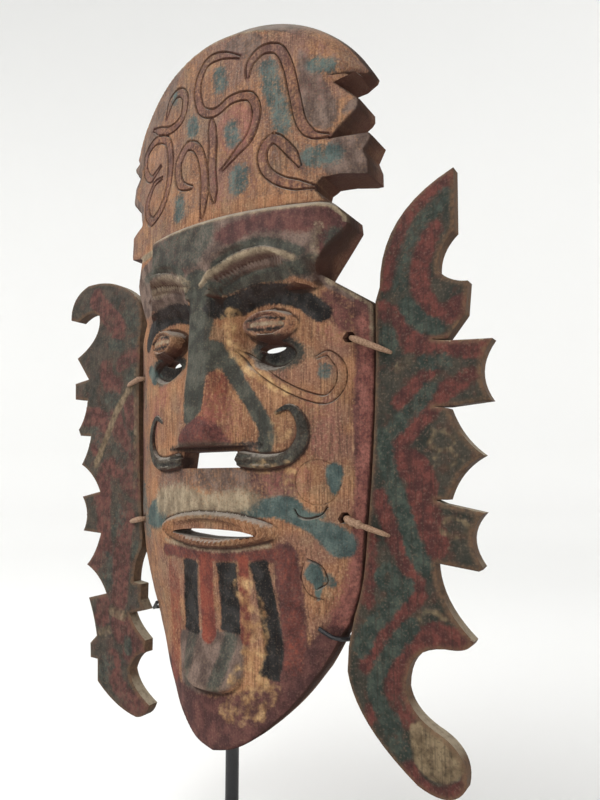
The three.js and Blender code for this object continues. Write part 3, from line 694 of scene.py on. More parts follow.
def mask_piece():
    outline = mask_outline()
    slits = [lens_loop(part_on_side(EYE_SLIT, side), 22) for side in (1, -1)]
    holes = [*slits, closed_evenly(np.array(NOSTRIL), 1.5), lens_loop(MOUTH_SLIT, 60)]
    loops = [closed_evenly(outline, RIM_STEP), *holes]
    rim_line = closed_evenly(outline, 0.7)
    cuts = [beside(line, offset) for line, _ in scroll_edges() for offset in (-GROOVE_HALF, 0, GROOVE_HALF)]
    steps = [level_line(-88, 99, RIM_STEP, LEDGE_TOP + rise) for rise in (0.4, -0.1, -3)]
    steps += [level_line(-37, 37.5, 1, NOSE_BOTTOM + rise) for rise in (-0.3, 0.1)]
    drawn_points = np.vstack([*cuts, *steps, *steep_edges()])
    drawn_points = drawn_points[clearance(drawn_points, rim_line) > 0.6]
    coarse = hex_grid(outline.min(0), outline.max(0), COARSE_STEP)
    in_fine = np.zeros(len(coarse), bool)
    for x0, x1, z0, z1 in FINE_AREAS:
        in_fine |= (coarse[:, 0] > x0) & (coarse[:, 0] < x1) & (coarse[:, 1] > z0) & (coarse[:, 1] < z1)
    grid = [coarse[~in_fine]] + [hex_grid((x0, z0), (x1, z1), FINE_STEP) for x0, x1, z0, z1 in FINE_AREAS]
    grid = inside_loops(np.vstack(grid), loops)
    grid = grid[clearance(grid, np.vstack([rim_line, *holes])) > 0.7]
    grid = grid[clearance(grid, drawn_points) > 0.75]
    inner = np.vstack([inside_loops(drawn_points, loops), grid])
    back_grid = inside_loops(hex_grid(outline.min(0), outline.max(0), BACK_STEP), loops)
    back_grid = back_grid[clearance(back_grid, np.vstack(loops)) > 2]
    rim = {}

    def front_of(x, z):
        rim["distance"] = clearance(np.stack([x, z], 1), rim_line)
        return -carved_front(x, z, rim["distance"])

    def back_of(x, z):
        return np.minimum(RIM_BACK, ramp(SHELL, z) - log_front(x, z) + 3 * adze_marks(x, z))

    piece, front = carved_board("carved_mask", loops, inner, back_grid, front_of, back_of)
    return piece, front, rim["distance"]


def ear_piece(name, outline):
    loops = [closed_evenly(outline, EAR_RIM_STEP)]
    grid = inside_loops(hex_grid(outline.min(0), outline.max(0), EAR_STEP), loops)
    grid = grid[clearance(grid, loops[0]) > 0.7]
    back_grid = grid[::9]

    def front_of(x, z):
        rim = clearance(np.stack([x, z], 1), loops[0])
        return EAR_FRONT + 0.9 * ((1 - rim / 2).clip(0)) ** 2 + 0.7 * adze_marks(x, z) * smooth(0, 4, rim)

    def back_of(x, z):
        return np.full(x.shape, EAR_FRONT + EAR_THICK)

    piece, front = carved_board(name, loops, grid, back_grid, front_of, back_of)
    return piece, front, clearance(front, loops[0])


def splint_piece(name, face, ear, radii):
    """A tapered stick that leaves a hole in the face, crosses the gap and ends in the ear."""
    depth = -log_front(np.array([face[0]]), np.array([face[1]]))[0]
    stops = [(0, depth + 4), (0.04, depth - 0.4), (0.2, depth - 2.2), (0.8, EAR_FRONT - 2.4),
             (1, EAR_FRONT - 0.6), (1.04, EAR_FRONT + 3)]
    share = np.linspace(0, 1.04, 27)
    along = np.array(face) + share[:, None] * (np.array(ear) - np.array(face))
    path = np.stack([along[:, 0], ramp(stops, share), along[:, 1]], 1)
    ahead = np.gradient(path, axis=0)
    ahead /= np.linalg.norm(ahead, axis=1)[:, None]
    side = np.cross(ahead, [0, 0, 1])
    side /= np.linalg.norm(side, axis=1)[:, None]
    turn = np.linspace(0, 2 * np.pi, 10, endpoint=False)
    radius = ramp(radii, share)[:, None, None]
    rings = path[:, None] + radius * (
        np.cos(turn)[:, None] * side[:, None] + np.sin(turn)[:, None] * np.cross(side, ahead)[:, None])
    count = len(turn)
    faces = [tuple(range(count)), tuple(range(len(share) * count - 1, (len(share) - 1) * count - 1, -1))]
    faces += ring_walls(len(share), count)
    return mesh_piece(name, in_metres(rings.reshape(-1, 3)), faces)


# Paint marks: points, width of the stroke or none for a filled shape, thickness left, sharpness of the edge

def square_band(points, width):
    """The outline of a band with square ends along a line."""
    line = spline(points, 4)
    return np.vstack([beside(line, width / 2), beside(line, -width / 2)[::-1]])


def both(points, *rest):
    """The same mark on both sides of the face."""
    return [(on_side(points, side), *rest) for side in (1, -1)]


def strokes(thick, sharp, *lines):
    """Strokes of one thickness and sharpness, each with its width and its line."""
    return [(points, width, thick, sharp) for width, points in lines]


MASK_PAINT = {
    "grey": [
        ([(-84, 146), (-84, 172), (-44, 182), (0, 184), (84, 184), (98, 174), (80, 142), (40, 146),
          (0, 140), (-40, 142)], None, 1.0, 0.7),
        ([(-100, 196), (-104, 250), (-60, 310), (0, 330), (60, 310), (104, 250), (104, 196),
          (0, 200)], None, -0.15, 0.2),
        ([(63, 287), (78, 264), (86, 242), (80, 231), (67, 238), (62, 262)], None, 0.8, 0.4),
        ([(78, 204), (104, 200), (104, 230), (84, 230)], None, 0.8, 0.4),
        ([(86, 240), (99, 242), (96, 250)], None, 0.8, 0.5),
        ([(-90, 258), (-62, 296), (-25, 314), (-40, 292), (-72, 258)], None, 0.5, 0.4),
        ([(10, 304), (27, 291), (40, 300), (26, 312)], None, 0.4, 0.4),
        ([(-52, 155), (-34, 158), (-6, 149), (-20, 139), (-56, 143)], None, 1.2, 0.6),
        ([(-28, -61), (20, -58), (21, -71), (18, -84), (-3, -94), (-26, -95),
          (-31, -78)], None, 1.2, 0.6),
        ([(28, 52), (38, 40), (52, 40), (46, 34), (24, 36)], None, 0.3, 0.5),
        ([(-46, 34), (-18, 36), (-8, 28), (-30, 22), (-50, 24)], None, 0.1, 0.3),
        ([(28, 33), (50, 33), (54, 20), (32, 16)], None, 0.2, 0.3),
        ([(-10, 36), (15, 37), (34, 33), (26, 23), (-6, 24)], None, 0.4, 0.25),
        ([(95, 128), (84, 135.5), (75, 141.5)], 7, 1.4, 0.7),
        ([(-97, 120), (-80, 118), (-73, 60), (-67, 0), (-50, -60), (-70, -62),
          (-92, 0)], None, -0.2, 0.3),
    ],
    "maroon": [
        ([(16, 173), (41, 180), (77, 182), (84, 176), (76, 166), (60, 167), (43, 169),
          (27, 164)], None, 1.0, 0.3),
        ([(-34, 181), (-13, 181), (-4, 160), (-9, 154), (-34, 165)], None, 0.7, 0.4),
        ([(80, 181), (98, 176), (96, 160), (80, 138), (77, 150)], None, 2, 0.7),
        ([(88, 132), (87, 94), (85, 66), (85, 30), (83, 6), (82, -14), (77, -32), (66, -54), (84, -56),
          (98, 0), (104, 60), (104, 126)], None, 1.8, 0.7),
        ([(-48, -82), (-30, -92), (-9, -94), (6, -92), (25, -86), (42, -76), (54, -62), (72, -48),
          (72, -92), (30, -130), (-30, -130), (-70, -88)], None, 1.4, 0.4),
        ([(-92, 120), (-88, 60), (-84, 0)], 9, 0.2, 0.5),
        ([(2, 66), (13, 64), (19, 56), (20, 48), (-10, 48), (-8, 58)], None, 2.2, 0.8),
        ([(-42, -14), (6, -13.5), (50, -12)], 8, 1.2, 0.6),
        ([(49, -12), (50, -46), (47, -78)], 14, 1.0, 0.6),
        ([(72, 136), (87, 129), (86, 112), (76, 118)], None, 0.5, 0.4),
        ([(33, 36), (54, 34), (51, 23), (33, 22)], None, 0.1, 0.4),
        *both([(30, 117), (43, 125), (57, 117), (43, 110)], None, -0.1, 0.4),
    ],
    "red": [
        ([(6, 91), (16, 90), (18, 76), (17, 64), (6, 66)], None, 0.1, 0.4),
        ([(2, 66), (13, 64), (18, 56), (18, 50), (-8, 50), (-6, 58)], None, -0.3, 0.4),
        ([(-42, -14), (6, -13.5), (50, -12)], 7, -0.1, 0.6),
        ([(-3, -18), (-4, -40), (-4, -60)], 11, 1.8, 0.8),
        ([(24, -16), (23, -36), (22, -60)], 7, 0.8, 0.7),
        ([(49, -14), (50, -44), (48, -72)], 9, -0.15, 0.4),
        ([(-34, -24), (-37, -60), (-40, -88)], 12, 0.2, 0.5),
    ],
    "rose": [
        ([(-57, 80), (-57, 65)], 11, 0.0, 0.3),
        ([(-46, 90), (-44, 82)], 9, 0.0, 0.3),
        ([(94, 118), (93, 60), (89, 6), (83, -22), (74, -46)], 10, 0.25, 0.25),
        ([(62, 76), (76, 70), (76, 44), (60, 40), (58, 56)], None, -0.3, 0.3),
        ([(10, 254), (24, 260), (33, 250), (30, 236), (18, 230), (10, 240)], None, 0.0, 0.3),
        ([(8, 198), (30, 200), (44, 214), (38, 232), (10, 226)], None, -0.4, 0.3),
        ([(56, 300), (84, 276), (80, 250), (64, 262)], None, -0.5, 0.3),
        ([(8, 74), (20, 76), (26, 60), (18, 52)], None, -0.2, 0.3),
        ([(40, 34), (62, 34), (60, 22), (42, 22)], None, -0.2, 0.3),
        ([(66, 130), (84, 122), (84, 104), (70, 112)], None, -0.3, 0.3),
    ],
    "slate": [
        ([(-9, 150), (11, 150), (9, 113), (13, 104), (18, 97), (9, 91), (7, 78), (5, 68), (-6, 62),
          (-9, 80), (-8, 104), (-10, 126)], None, 1.8, 0.7),
        ([(10, 107), (18, 96), (25, 84), (34, 70), (40, 58), (39, 48)], 9.5, 2.0, 0.8),
        ([(-70, 168), (-40, 178), (-16, 182), (13, 183), (16, 172), (9, 162), (-2, 156),
          (-40, 160)], None, 0.5, 0.25),
        ([(-18, -62), (-20, -76), (-22, -88)], 9, 0.3, 0.4),
        ([(-86, 108), (-82, 96), (-80, 84)], 9, -0.1, 0.4),
        ([(-70, 60), (-72, 40), (-74, 26)], 8, -0.3, 0.4),
        ([(12, -60), (9, -74), (4, -87)], 9, 0.6, 0.5),
        ([(82, 168), (89, 167), (86, 155), (80, 153)], None, 0.5, 0.4),
        ([(16, 154), (27, 160.5), (41, 163), (55, 161), (68, 155)], 6, 1.4, 0.7),
        ([(-10, 154), (-18, 160), (-29, 163), (-46, 160)], 6, 1.6, 0.7),
        # Green paint under the right brow, with painted shade where the brow overhangs
        ([(8, 141), (22, 145), (40, 147), (58, 146), (74, 150)], 8, 1.4, 0.6),
        *both([(27, 106), (35, 94), (50, 91), (62, 98), (59, 108), (42, 112)], None, 1.0, 0.4),
    ],
    "black": [
        *[(square_band(points, width), None, 2.0, 0.9) for width, points in FLUTES],
        *both([(11, 131), (22, 135), (36, 138), (50, 136), (61, 132), (71, 124)], 12, 2.0, 0.7),
        *both([(32, 120.4), (43, 121.6), (54, 120.2)], 1.8, 0.9, 1),
        *both([(33, 115.8), (43, 114.6), (53, 115.9)], 1.8, 0.9, 1),
        # Painted shade along the underside of the nose
        ([(-34, 49), (0, 49), (36, 49)], 3.4, 0.4, 0.6),
        # Painted shade in the bowls under the eyelids, round the eye slits
        *both([(30, 108), (37, 99), (49, 97), (58, 103), (55, 109), (42, 112)], None, 0.6, 0.4),
    ],
    "teal": [
        *strokes(
            0.5, 0.3,
            (11, [(7, 288), (9, 279)]),
            (10, [(72, 274), (80, 272)]),
            (11, [(43, 280), (46, 266), (51, 249), (54, 238)]),
            (10, [(-16, 263), (-14, 256)]),
            (11, [(18, 246), (20, 238)]),
            (14, [(25, 213), (25, 207)]),
            (13, [(71, 215), (82, 215)]),
            (9, [(-25, 210), (-25, 200)]),
            (6, [(-36, 292), (-36, 287)]),
        ),
        ([(-66, 104), (-58, 97)], 9, 0.7, 0.6),
        ([(70, 94), (76, 93), (74, 86), (69, 87)], None, 0.5, 0.6),
        ([(24, 14), (41, 20), (55, 20), (61, 14), (68, 8), (78, 4), (85, -3), (82, -12), (73, -12),
          (64, -1), (55, 4), (46, 8), (26, 8)], None, 1.4, 0.6),
        ([(-66, 14), (-40, 20), (-38, 8), (-48, -1), (-70, 0)], None, 0.9, 0.5),
        ([(-37, 11), (-2, 12), (24, 12)], 5, 0.2, 0.4),
        ([(-84, 22), (-78, 8), (-72, -2)], 14, 0.1, 0.4),
        ([(75, 39), (80, 35), (78, 25), (75, 21), (72, 27), (71, 35)], None, 1.8, 0.8),
        ([(58, 13), (63, 10.5), (69, 10)], 3, 1.2, 0.9),
        ([(59, -19), (64, -15), (68, -22), (67, -28), (65, -35), (63, -36), (62, -28),
          (58, -24)], None, 1.8, 0.9),
        ([(70, -24), (71, -27)], 5, 0.5, 0.7),
    ],
    "pale": [
        ([(-52, 23), (-25, 27), (-10, 24), (8, 22), (24, 24), (36, 19), (26, 11), (-3, 9),
          (-48, 8)], None, 0.7, 0.2),
        ([(4, 145), (13, 150.5), (27, 156), (41, 158), (54, 156.5), (64, 152)], 3.4, 0.9, 0.8),
        ([(78, 170), (76, 158), (76, 147)], 3, -0.2, 0.5),
        ([(-33, -21), (-28, -24)], 7, -0.2, 0.5),
        ([(-42, -8), (6, -11), (40, -7)], 2.4, 0.2, 0.6),
        ([(95.5, 127), (96, 104)], 3.4, 0.4, 0.8),
        ([(96, 128.5), (85, 136), (76, 142)], 3, 0.3, 0.7),
        *both([(34, 118), (52, 118)], 2, 0.5, 1),
        ([(-8, 147), (-16, 151), (-29, 154), (-46, 152)], 7, 0.1, 0.5),
    ],
    "cream": [
        ([(16, 129), (16, 116), (19, 106), (26, 97), (38, 88), (52, 79)], 5, 0.1, 0.4),
        ([(23, -32), (27, -44), (28, -58), (25, -72), (21, -84)], 13, -0.15, 0.45),
        ([(6, -98), (27, -82), (40, -84), (34, -98), (25, -106), (10, -104)], None, -0.25, 0.4),
        ([(45, 66), (53, 62), (50, 50), (43, 48)], None, -0.4, 0.4),
        ([(36, 36), (52, 37), (52, 30)], 5, -0.3, 0.4),
    ],
}

# Paints on the curls beside the nose, and how thick they lie
CURL_COATS = {"slate": 2.0, "black": 0.1}

RIGHT_EAR_PAINT = {
    "red": [
        ([(146, 189), (137, 186), (128, 181), (120, 175), (112, 158), (108, 146),
          (105, 138)], 9, 0.7, 0.4),
        ([(133, 162), (129, 154), (125, 143), (125, 135), (127, 127), (132, 118), (139, 115),
          (148, 118)], 12, 0.9, 0.45),
        ([(103, 123), (110, 119), (116, 112), (119, 103)], 11, 0.6, 0.4),
        ([(119, 102), (130, 99), (144, 97), (159, 95)], 12, 0.8, 0.45),
        ([(112, 71), (120, 78), (126, 83), (131, 86)], 9, 0.7, 0.4),
        ([(150, 81), (137, 74), (129, 65), (122, 60), (114, 52), (109, 46)], 10, 0.8, 0.45),
        ([(112, 38), (118, 36), (122, 29), (123, 19), (125, 8), (128, -3)], 17, 1.0, 0.45),
        ([(100, 19), (103, 9), (107, -1), (112, -12), (116, -21), (118, -29)], 11, 1.0, 0.5),
        ([(118, -30), (110, -39), (101, -50), (95, -59), (88, -68)], 9, 1.0, 0.5),
        ([(92, -2), (91, -18), (90, -34)], 9, 0.5, 0.35),
        ([(144, -49), (131, -48), (121, -49), (113, -56), (107, -67), (104, -74)], 12, 1.0, 0.45),
        ([(104, -76), (108, -84), (110, -89)], 12, 0.2, 0.35),
        ([(90, -89), (90, -94)], 6, 0.7, 0.5),
        ([(111, -113), (117, -119), (127, -121), (138, -115)], 8, 0.6, 0.4),
    ],
    "teal": [
        ([(140, 180), (128, 169), (120, 159), (116, 148), (114, 134)], 9, 0.1, 0.35),
        ([(117, 124), (124, 114), (133, 109)], 10, 0.8, 0.45),
        ([(105, 109), (106, 102)], 10, 0.7, 0.45),
        ([(126, 91), (137, 90)], 9, 0.4, 0.4),
        ([(129, 76), (119, 66), (111, 59), (104, 52)], 8, 0.4, 0.4),
        ([(101, 52), (104, 35), (109, 19), (113, 8), (117, -4), (122, -14)], 10, 0.8, 0.45),
        ([(96, -22), (102, -16), (108, -21), (102, -27), (96, -22)], 5, 0.9, 0.6),
        ([(112, -25), (101, -38), (91, -49), (86, -60)], 10, 0.7, 0.45),
        ([(115, -44), (105, -56), (96, -69), (93, -79), (96, -86)], 9, 0.8, 0.45),
        ([(101, -92), (104, -98), (107, -105)], 10, 0.2, 0.4),
        ([(134, -104), (134, -109)], 7, 0.6, 0.6),
    ],
    "pale": [
        ([(128, 49), (132, 54), (139, 52), (141, 47), (135, 44), (129, 46), (128, 49)], 1.8, 0.1, 0.6),
        ([(130, 40), (133, 44), (140, 43), (141, 38), (136, 35), (131, 37)], 1.8, 0.1, 0.6),
        ([(132, 6), (137, 10), (145, 8), (146, 4), (140, 1), (133, 3), (132, 6)], 1.8, 0.1, 0.6),
        ([(120, -43), (119, -38), (126, -36), (133, -39)], 2, 0.2, 0.6),
        ([(134, 64), (142, 53), (150, 44), (146, 41), (139, 34), (130, 35), (129, 53)], None, -0.6, 0.3),
        ([(113, -92), (124, -90), (137, -97), (140, -106), (130, -115), (118, -113),
          (113, -103)], None, 0.9, 0.6),
        ([(117, 93), (112, 89)], 5, -0.1, 0.5),
    ],
}

LEFT_EAR_PAINT = {
    "red": [
        *strokes(
            0.45, 0.34,
            (16.5, [(-151, 175), (-139, 162), (-124, 149), (-122, 143)]),
            (15.5, [(-136, 116), (-132, 106), (-123, 101)]),
            (15.5, [(-160, 80), (-136, 74), (-142, 56)]),
            (14.5, [(-122, 79), (-118, 66), (-111, 56)]),
            (13.5, [(-107, 87), (-104, 74)]),
            (15.5, [(-136, 20), (-132, 6), (-130, -9)]),
            (17.5, [(-105, 5), (-108, -14), (-110, -34), (-111, -55)]),
            (15.5, [(-140, -31), (-134, -27), (-127, -20)]),
            (15.5, [(-111, -72), (-106, -78), (-93, -72)]),
        ),
        *strokes(
            0.35, 0.34,
            (13.5, [(-117, 118), (-108, 123), (-98, 125)]),
            (14.5, [(-97, 49), (-108, 30), (-94, 22)]),
            (14.5, [(-128, -61), (-129, -70)]),
            (13.5, [(-97, -90), (-87, -83)]),
            (14.5, [(-115, -97), (-111, -110), (-104, -116)]),
            (15.5, [(-98, -121), (-82, -124)]),
        ),
        ([(-120, 40), (-133, 33), (-132, 18)], 17.5, 0.55, 0.34),
    ],
    "teal": [
        ([(-94, -17), (-95, -22)], 8, 0.5, 0.7),
        ([(-100, -83), (-99, -88)], 8, 0.5, 0.7),
        ([(-108, 106), (-105, 110)], 8, 0.6, 0.7),
        ([(-130, 135), (-118, 132)], 9, 0.4, 0.7),
        *strokes(
            0.1, 0.3,
            (12, [(-112, 158), (-104, 146), (-104, 134)]),
            (13, [(-128, 92), (-122, 88)]),
            (12, [(-148, 66), (-138, 60)]),
            (12, [(-122, 56), (-112, 44)]),
            (12, [(-126, -30), (-124, -46)]),
            (12, [(-120, -100), (-124, -108)]),
        ),
        ([(-110, 8), (-116, -6)], 11, 0.0, 0.3),
    ],
    "pale": [
        ([(-106, 99), (-119, 84), (-130, 65), (-143, 42)], 6, 0.7, 0.6),
        ([(-121, -78), (-129, -81)], 6, 0.1, 0.7),
        ([(-118, -64), (-106, -66)], 7, 0.0, 0.7),
        ([(-101, 112), (-99, 60), (-98, 24)], 3, 0.0, 0.7),
    ],
}

# The ears: what makes the outline, the paint, and how much of the paint has faded
EARS = {
    "right": (right_ear, RIGHT_EAR_PAINT, 0.1),
    "left": (left_ear, LEFT_EAR_PAINT, 0.5),
}


def coat(depth, band, thick):
    """A paint with one more band of it, up to a thickness."""
    return np.maximum(depth, np.minimum(band, thick))


def paint_depth(x, z, marks):
    """Thickness of one paint in millimetres over some points; negative is the distance to the paint."""
    depth = np.full(x.shape, -FAR)
    for points, width, thick, sharp in marks:
        mark = patch(x, z, points) if width is None else width / 2 - nearest(x, z, spline(points))[0]
        depth = coat(depth, mark * sharp, thick)
    return depth


def mask_paint(pot, x, z, rim):
    """Thickness of one paint over the front of the mask; rim is the distance to the outline."""
    depth = paint_depth(x, z, MASK_PAINT[pot])
    if pot == "maroon":
        for half, points in CREST_BANDS:
            depth = coat(depth, half - 0.4 - nearest(x, z, spline(points))[0], 0.05)
    if pot in CURL_COATS:
        away, along = nearest(np.abs(x), z, spline(CURL_LINE))
        depth = coat(depth, (CURL_HALF + 0.1) * curl_size(along) - away, CURL_COATS[pot])
    if pot == "grey":
        left_edge = np.where((x < 0) & (z > 214), 6.0, 0)
        rim_paint = np.maximum(bevel_width(x, z), left_edge) - rim
        depth = coat(depth, rim_paint, 1.2 - 1.4 * smooth(40, 78, x))
    if pot == "pale":
        depth = coat(depth, 2.4 - np.abs(LEDGE_TOP - 1.2 - z), 1.4)
        ledge_end = (x > 78) & (z > 172) & (z < 186)
        depth = coat(depth, np.where(ledge_end, 3 - rim, -FAR), 1.4)
        along_bevel = (z > 288) & (x < 40)
        line = np.where(along_bevel, 0.9 - np.abs(rim - bevel_width(x, z)), -FAR)
        depth = np.maximum(depth, line - 0.2)
    return depth


def standing_proud(piece, count):
    """How far each point of a piece's front stands out from what is around it, in millimetres."""
    mesh = piece.data
    ends = np.empty(len(mesh.edges) * 2, int)
    mesh.edges.foreach_get("vertices", ends)
    a, b = ends.reshape(-1, 2).T
    on_front = (a < count) & (b < count)
    a, b = a[on_front], b[on_front]
    place = np.empty(len(mesh.vertices) * 3)
    mesh.vertices.foreach_get("co", place)
    out = -place[1::3][:count] * 1000
    links = np.bincount(a, minlength=count) + np.bincount(b, minlength=count)
    around = out
    for _ in range(7):
        total = np.bincount(a, around[b], count) + np.bincount(b, around[a], count)
        around = total / np.maximum(links, 1)
    return out - around


# Materials

def shade(red, green, blue):
    """A colour as it looks on a screen, for the shader."""
    levels = [value / 255 for value in (red, green, blue)]
    return tuple(v / 12.92 if v < 0.04 else ((v + 0.055) / 1.055) ** 2.4 for v in levels) + (1,)


class Finish:
    """A material, the colour that is laid on it so far, and short names for building its nodes."""

    def __init__(self, name):
        self.material = bpy.data.materials.new(name)
        self.material.use_nodes = True
        self.nodes = self.material.node_tree.nodes
        self.shader = self.nodes["Principled BSDF"]
        self.place = self.nodes.new("ShaderNodeTexCoord").outputs["Object"]

    def put(self, value, socket):
        if isinstance(value, bpy.types.NodeSocket):
            self.material.node_tree.links.new(value, socket)
        else:
            socket.default_value = value

    def field(self, name):
        node = self.nodes.new("ShaderNodeAttribute")
        node.attribute_name = name
        return node.outputs["Fac"]

    def noise(self, size, detail=3.0, stretch=1.0):
        """Noise with spots of a size in millimetres, drawn out along the grain."""
        spread = self.nodes.new("ShaderNodeMapping")
        self.put(self.place, spread.inputs["Vector"])
        spread.inputs["Scale"].default_value = (1000 / size, 1000 / size, 1000 / (size * stretch))
        node = self.nodes.new("ShaderNodeTexNoise")
        self.put(spread.outputs["Vector"], node.inputs["Vector"])
        node.inputs["Scale"].default_value = 1
        node.inputs["Detail"].default_value = detail
        return node.outputs["Fac"]

    def maths(self, kind, a, b=0.0):
        node = self.nodes.new("ShaderNodeMath")
        node.operation = kind
        self.put(a, node.inputs[0])
        self.put(b, node.inputs[1])
        return node.outputs[0]

    def span(self, value, low, high, start=0.0, end=1.0):
        node = self.nodes.new("ShaderNodeMapRange")
        node.interpolation_type = "SMOOTHSTEP"
        self.put(value, node.inputs["Value"])
        for name, number in (("From Min", low), ("From Max", high), ("To Min", start), ("To Max", end)):
            node.inputs[name].default_value = number
        return node.outputs["Result"]

    def mix(self, share, a, b):
        node = self.nodes.new("ShaderNodeMix")
        node.data_type = "RGBA"
        self.put(share, node.inputs["Factor"])
        self.put(a, node.inputs["A"])
        self.put(b, node.inputs["B"])
        return node.outputs["Result"]

    def total(self, *terms):
        """The sum of some values, each times a number."""
        parts = [value if times == 1 else self.maths("MULTIPLY", value, times) for value, times in terms]
        result = parts[0]
        for part in parts[1:]:
            result = self.maths("ADD", result, part)
        return result

    def lay(self, share, colour):
        """Lays a colour over what is there."""
        self.colour = self.mix(share, self.colour, colour)

    def wash(self, value, low, high, most, colour):
        """Lays up to a share of a colour where a value runs from low to high."""
        self.lay(self.span(value, low, high, 0, most), colour)

    def sides(self, colour):
        """Lays a colour on what faces neither forward nor back."""
        self.wash(self.maths("ABSOLUTE", self.facing("Y")), 0.5, 0.2, 0.75, colour)

    def finished(self, roughness):
        self.put(self.colour, self.shader.inputs["Base Color"])
        self.put(roughness, self.shader.inputs["Roughness"])
        return self.material

    def bump(self, height, depth):
        node = self.nodes.new("ShaderNodeBump")
        self.put(height, node.inputs["Height"])
        node.inputs["Distance"].default_value = depth / 1000
        self.put(node.outputs["Normal"], self.shader.inputs["Normal"])

    def facing(self, axis):
        """How much the surface faces along an axis."""
        node = self.nodes.new("ShaderNodeSeparateXYZ")
        self.put(self.nodes.new("ShaderNodeNewGeometry").outputs["Normal"], node.inputs["Vector"])
        return node.outputs[axis]


# Each paint: its dark and light shades
POTS = {
    "grey": (shade(82, 68, 62), shade(118, 100, 90)),
    "maroon": (shade(70, 46, 45), shade(100, 66, 61)),
    "red": (shade(98, 52, 45), shade(130, 68, 54)),
    "rose": (shade(118, 72, 65), shade(152, 98, 87)),
    "slate": (shade(54, 55, 50), shade(80, 80, 72)),
    "black": (shade(27, 26, 26), shade(50, 49, 48)),
    "teal": (shade(58, 72, 71), shade(86, 99, 94)),
    "pale": (shade(116, 102, 84), shade(158, 142, 118)),
    "cream": (shade(150, 112, 76), shade(196, 162, 116)),
}
BARE_WOOD = (shade(114, 78, 58), shade(148, 104, 76), shade(172, 132, 96))

# The same for the ears
EAR_POTS = {
    "red": (shade(66, 38, 36), shade(94, 50, 44)),
    "teal": (shade(40, 49, 44), shade(58, 68, 60)),
    "pale": (shade(86, 72, 54), shade(122, 106, 82)),
}

# Specular level of old paint
DULL = 0.12


def painted_wood():
    """Grained bare wood under worn paints; dirt and painted shade in the cuts, painted shade on sides and
    undersides, dusty tops with painted light, rubbed high spots.
    """
    wood = Finish("painted_wood")
    fine_grain = wood.noise(0.8, 4, 26)
    broad_grain = wood.noise(3, 4, 7)
    mottle = wood.noise(22, 5)
    specks = wood.noise(1.8, 5)
    dark, middle, light = BARE_WOOD
    wood.colour = wood.mix(wood.span(mottle, 0.36, 0.64), dark, middle)
    wood.wash(broad_grain, 0.42, 0.72, 0.5, light)
    wood.wash(wood.noise(30, 6), 0.48, 0.62, 0.55, shade(116, 86, 78))
    wood.wash(wood.noise(17, 5), 0.52, 0.66, 0.45, shade(128, 108, 84))
    wood.wash(fine_grain, 0.55, 0.72, 0.45, shade(180, 140, 106))
    ragged = wood.total((fine_grain, 0.4), (specks, 2.4), (broad_grain, 0.6))
    flakes = wood.total((wood.noise(5, 6), 3.4), (specks, 0.8))
    bare = 1.0
    for pot, (dull, bright) in POTS.items():
        paint = wood.mix(wood.span(wood.noise(7, 5, 1.4), 0.36, 0.66), dull, bright)
        worn, usual = (flakes, 2.1) if pot == "cream" else (ragged, 1.7)
        depth = wood.maths("ADD", wood.field(pot), wood.maths("SUBTRACT", usual, worn))
        cover = wood.span(depth, -0.7, 0.8)
        wood.lay(cover, paint)
        bare = wood.maths("MULTIPLY", bare, wood.maths("SUBTRACT", 1.0, cover))
    lines = wood.maths("MULTIPLY", wood.span(fine_grain, 0.5, 0.33), wood.span(bare, 0, 1, 0.22, 0.5))
    wood.lay(lines, shade(60, 42, 34))
    grit = wood.noise(1.1, 2)
    wood.wash(grit, 0.5, 0.3, 0.32, shade(40, 32, 28))
    glints = wood.maths("MULTIPLY", wood.span(grit, 0.54, 0.74), wood.span(bare, 0, 1, 0.1, 0.4))
    wood.lay(glints, shade(184, 154, 124))
    # Darker red-brown on the cut sides: their darker wood, and painted shade
    wood.sides(shade(60, 36, 31))
    proud = wood.field("proud")
    wood.wash(proud, 0.3, 1.3, 0.08, shade(168, 140, 112))
    # Darker in the cuts and hollows: dirt, and painted shade
    wood.wash(wood.total((proud, 1), (specks, 0.25)), -0.15, -1.0, 0.85, shade(46, 31, 25))
    upward = wood.facing("Z")
    # Painted shade: darker red-brown on what faces down
    wood.wash(upward, -0.45, -0.9, 0.7, shade(66, 40, 32))
    # Pale dust and painted top light on what faces up
    dust_and_top_light = wood.maths("MULTIPLY", wood.span(upward, 0.45, 0.85), wood.span(specks, 0.3, 0.6, 0.4, 0.85))
    wood.lay(dust_and_top_light, shade(148, 140, 130))
    wood.shader.inputs["Specular IOR Level"].default_value = DULL
    wood.bump(wood.total((fine_grain, 1), (specks, 0.5)), 0.5)
    return wood.finished(wood.span(mottle, 0.3, 0.7, 0.62, 0.85))


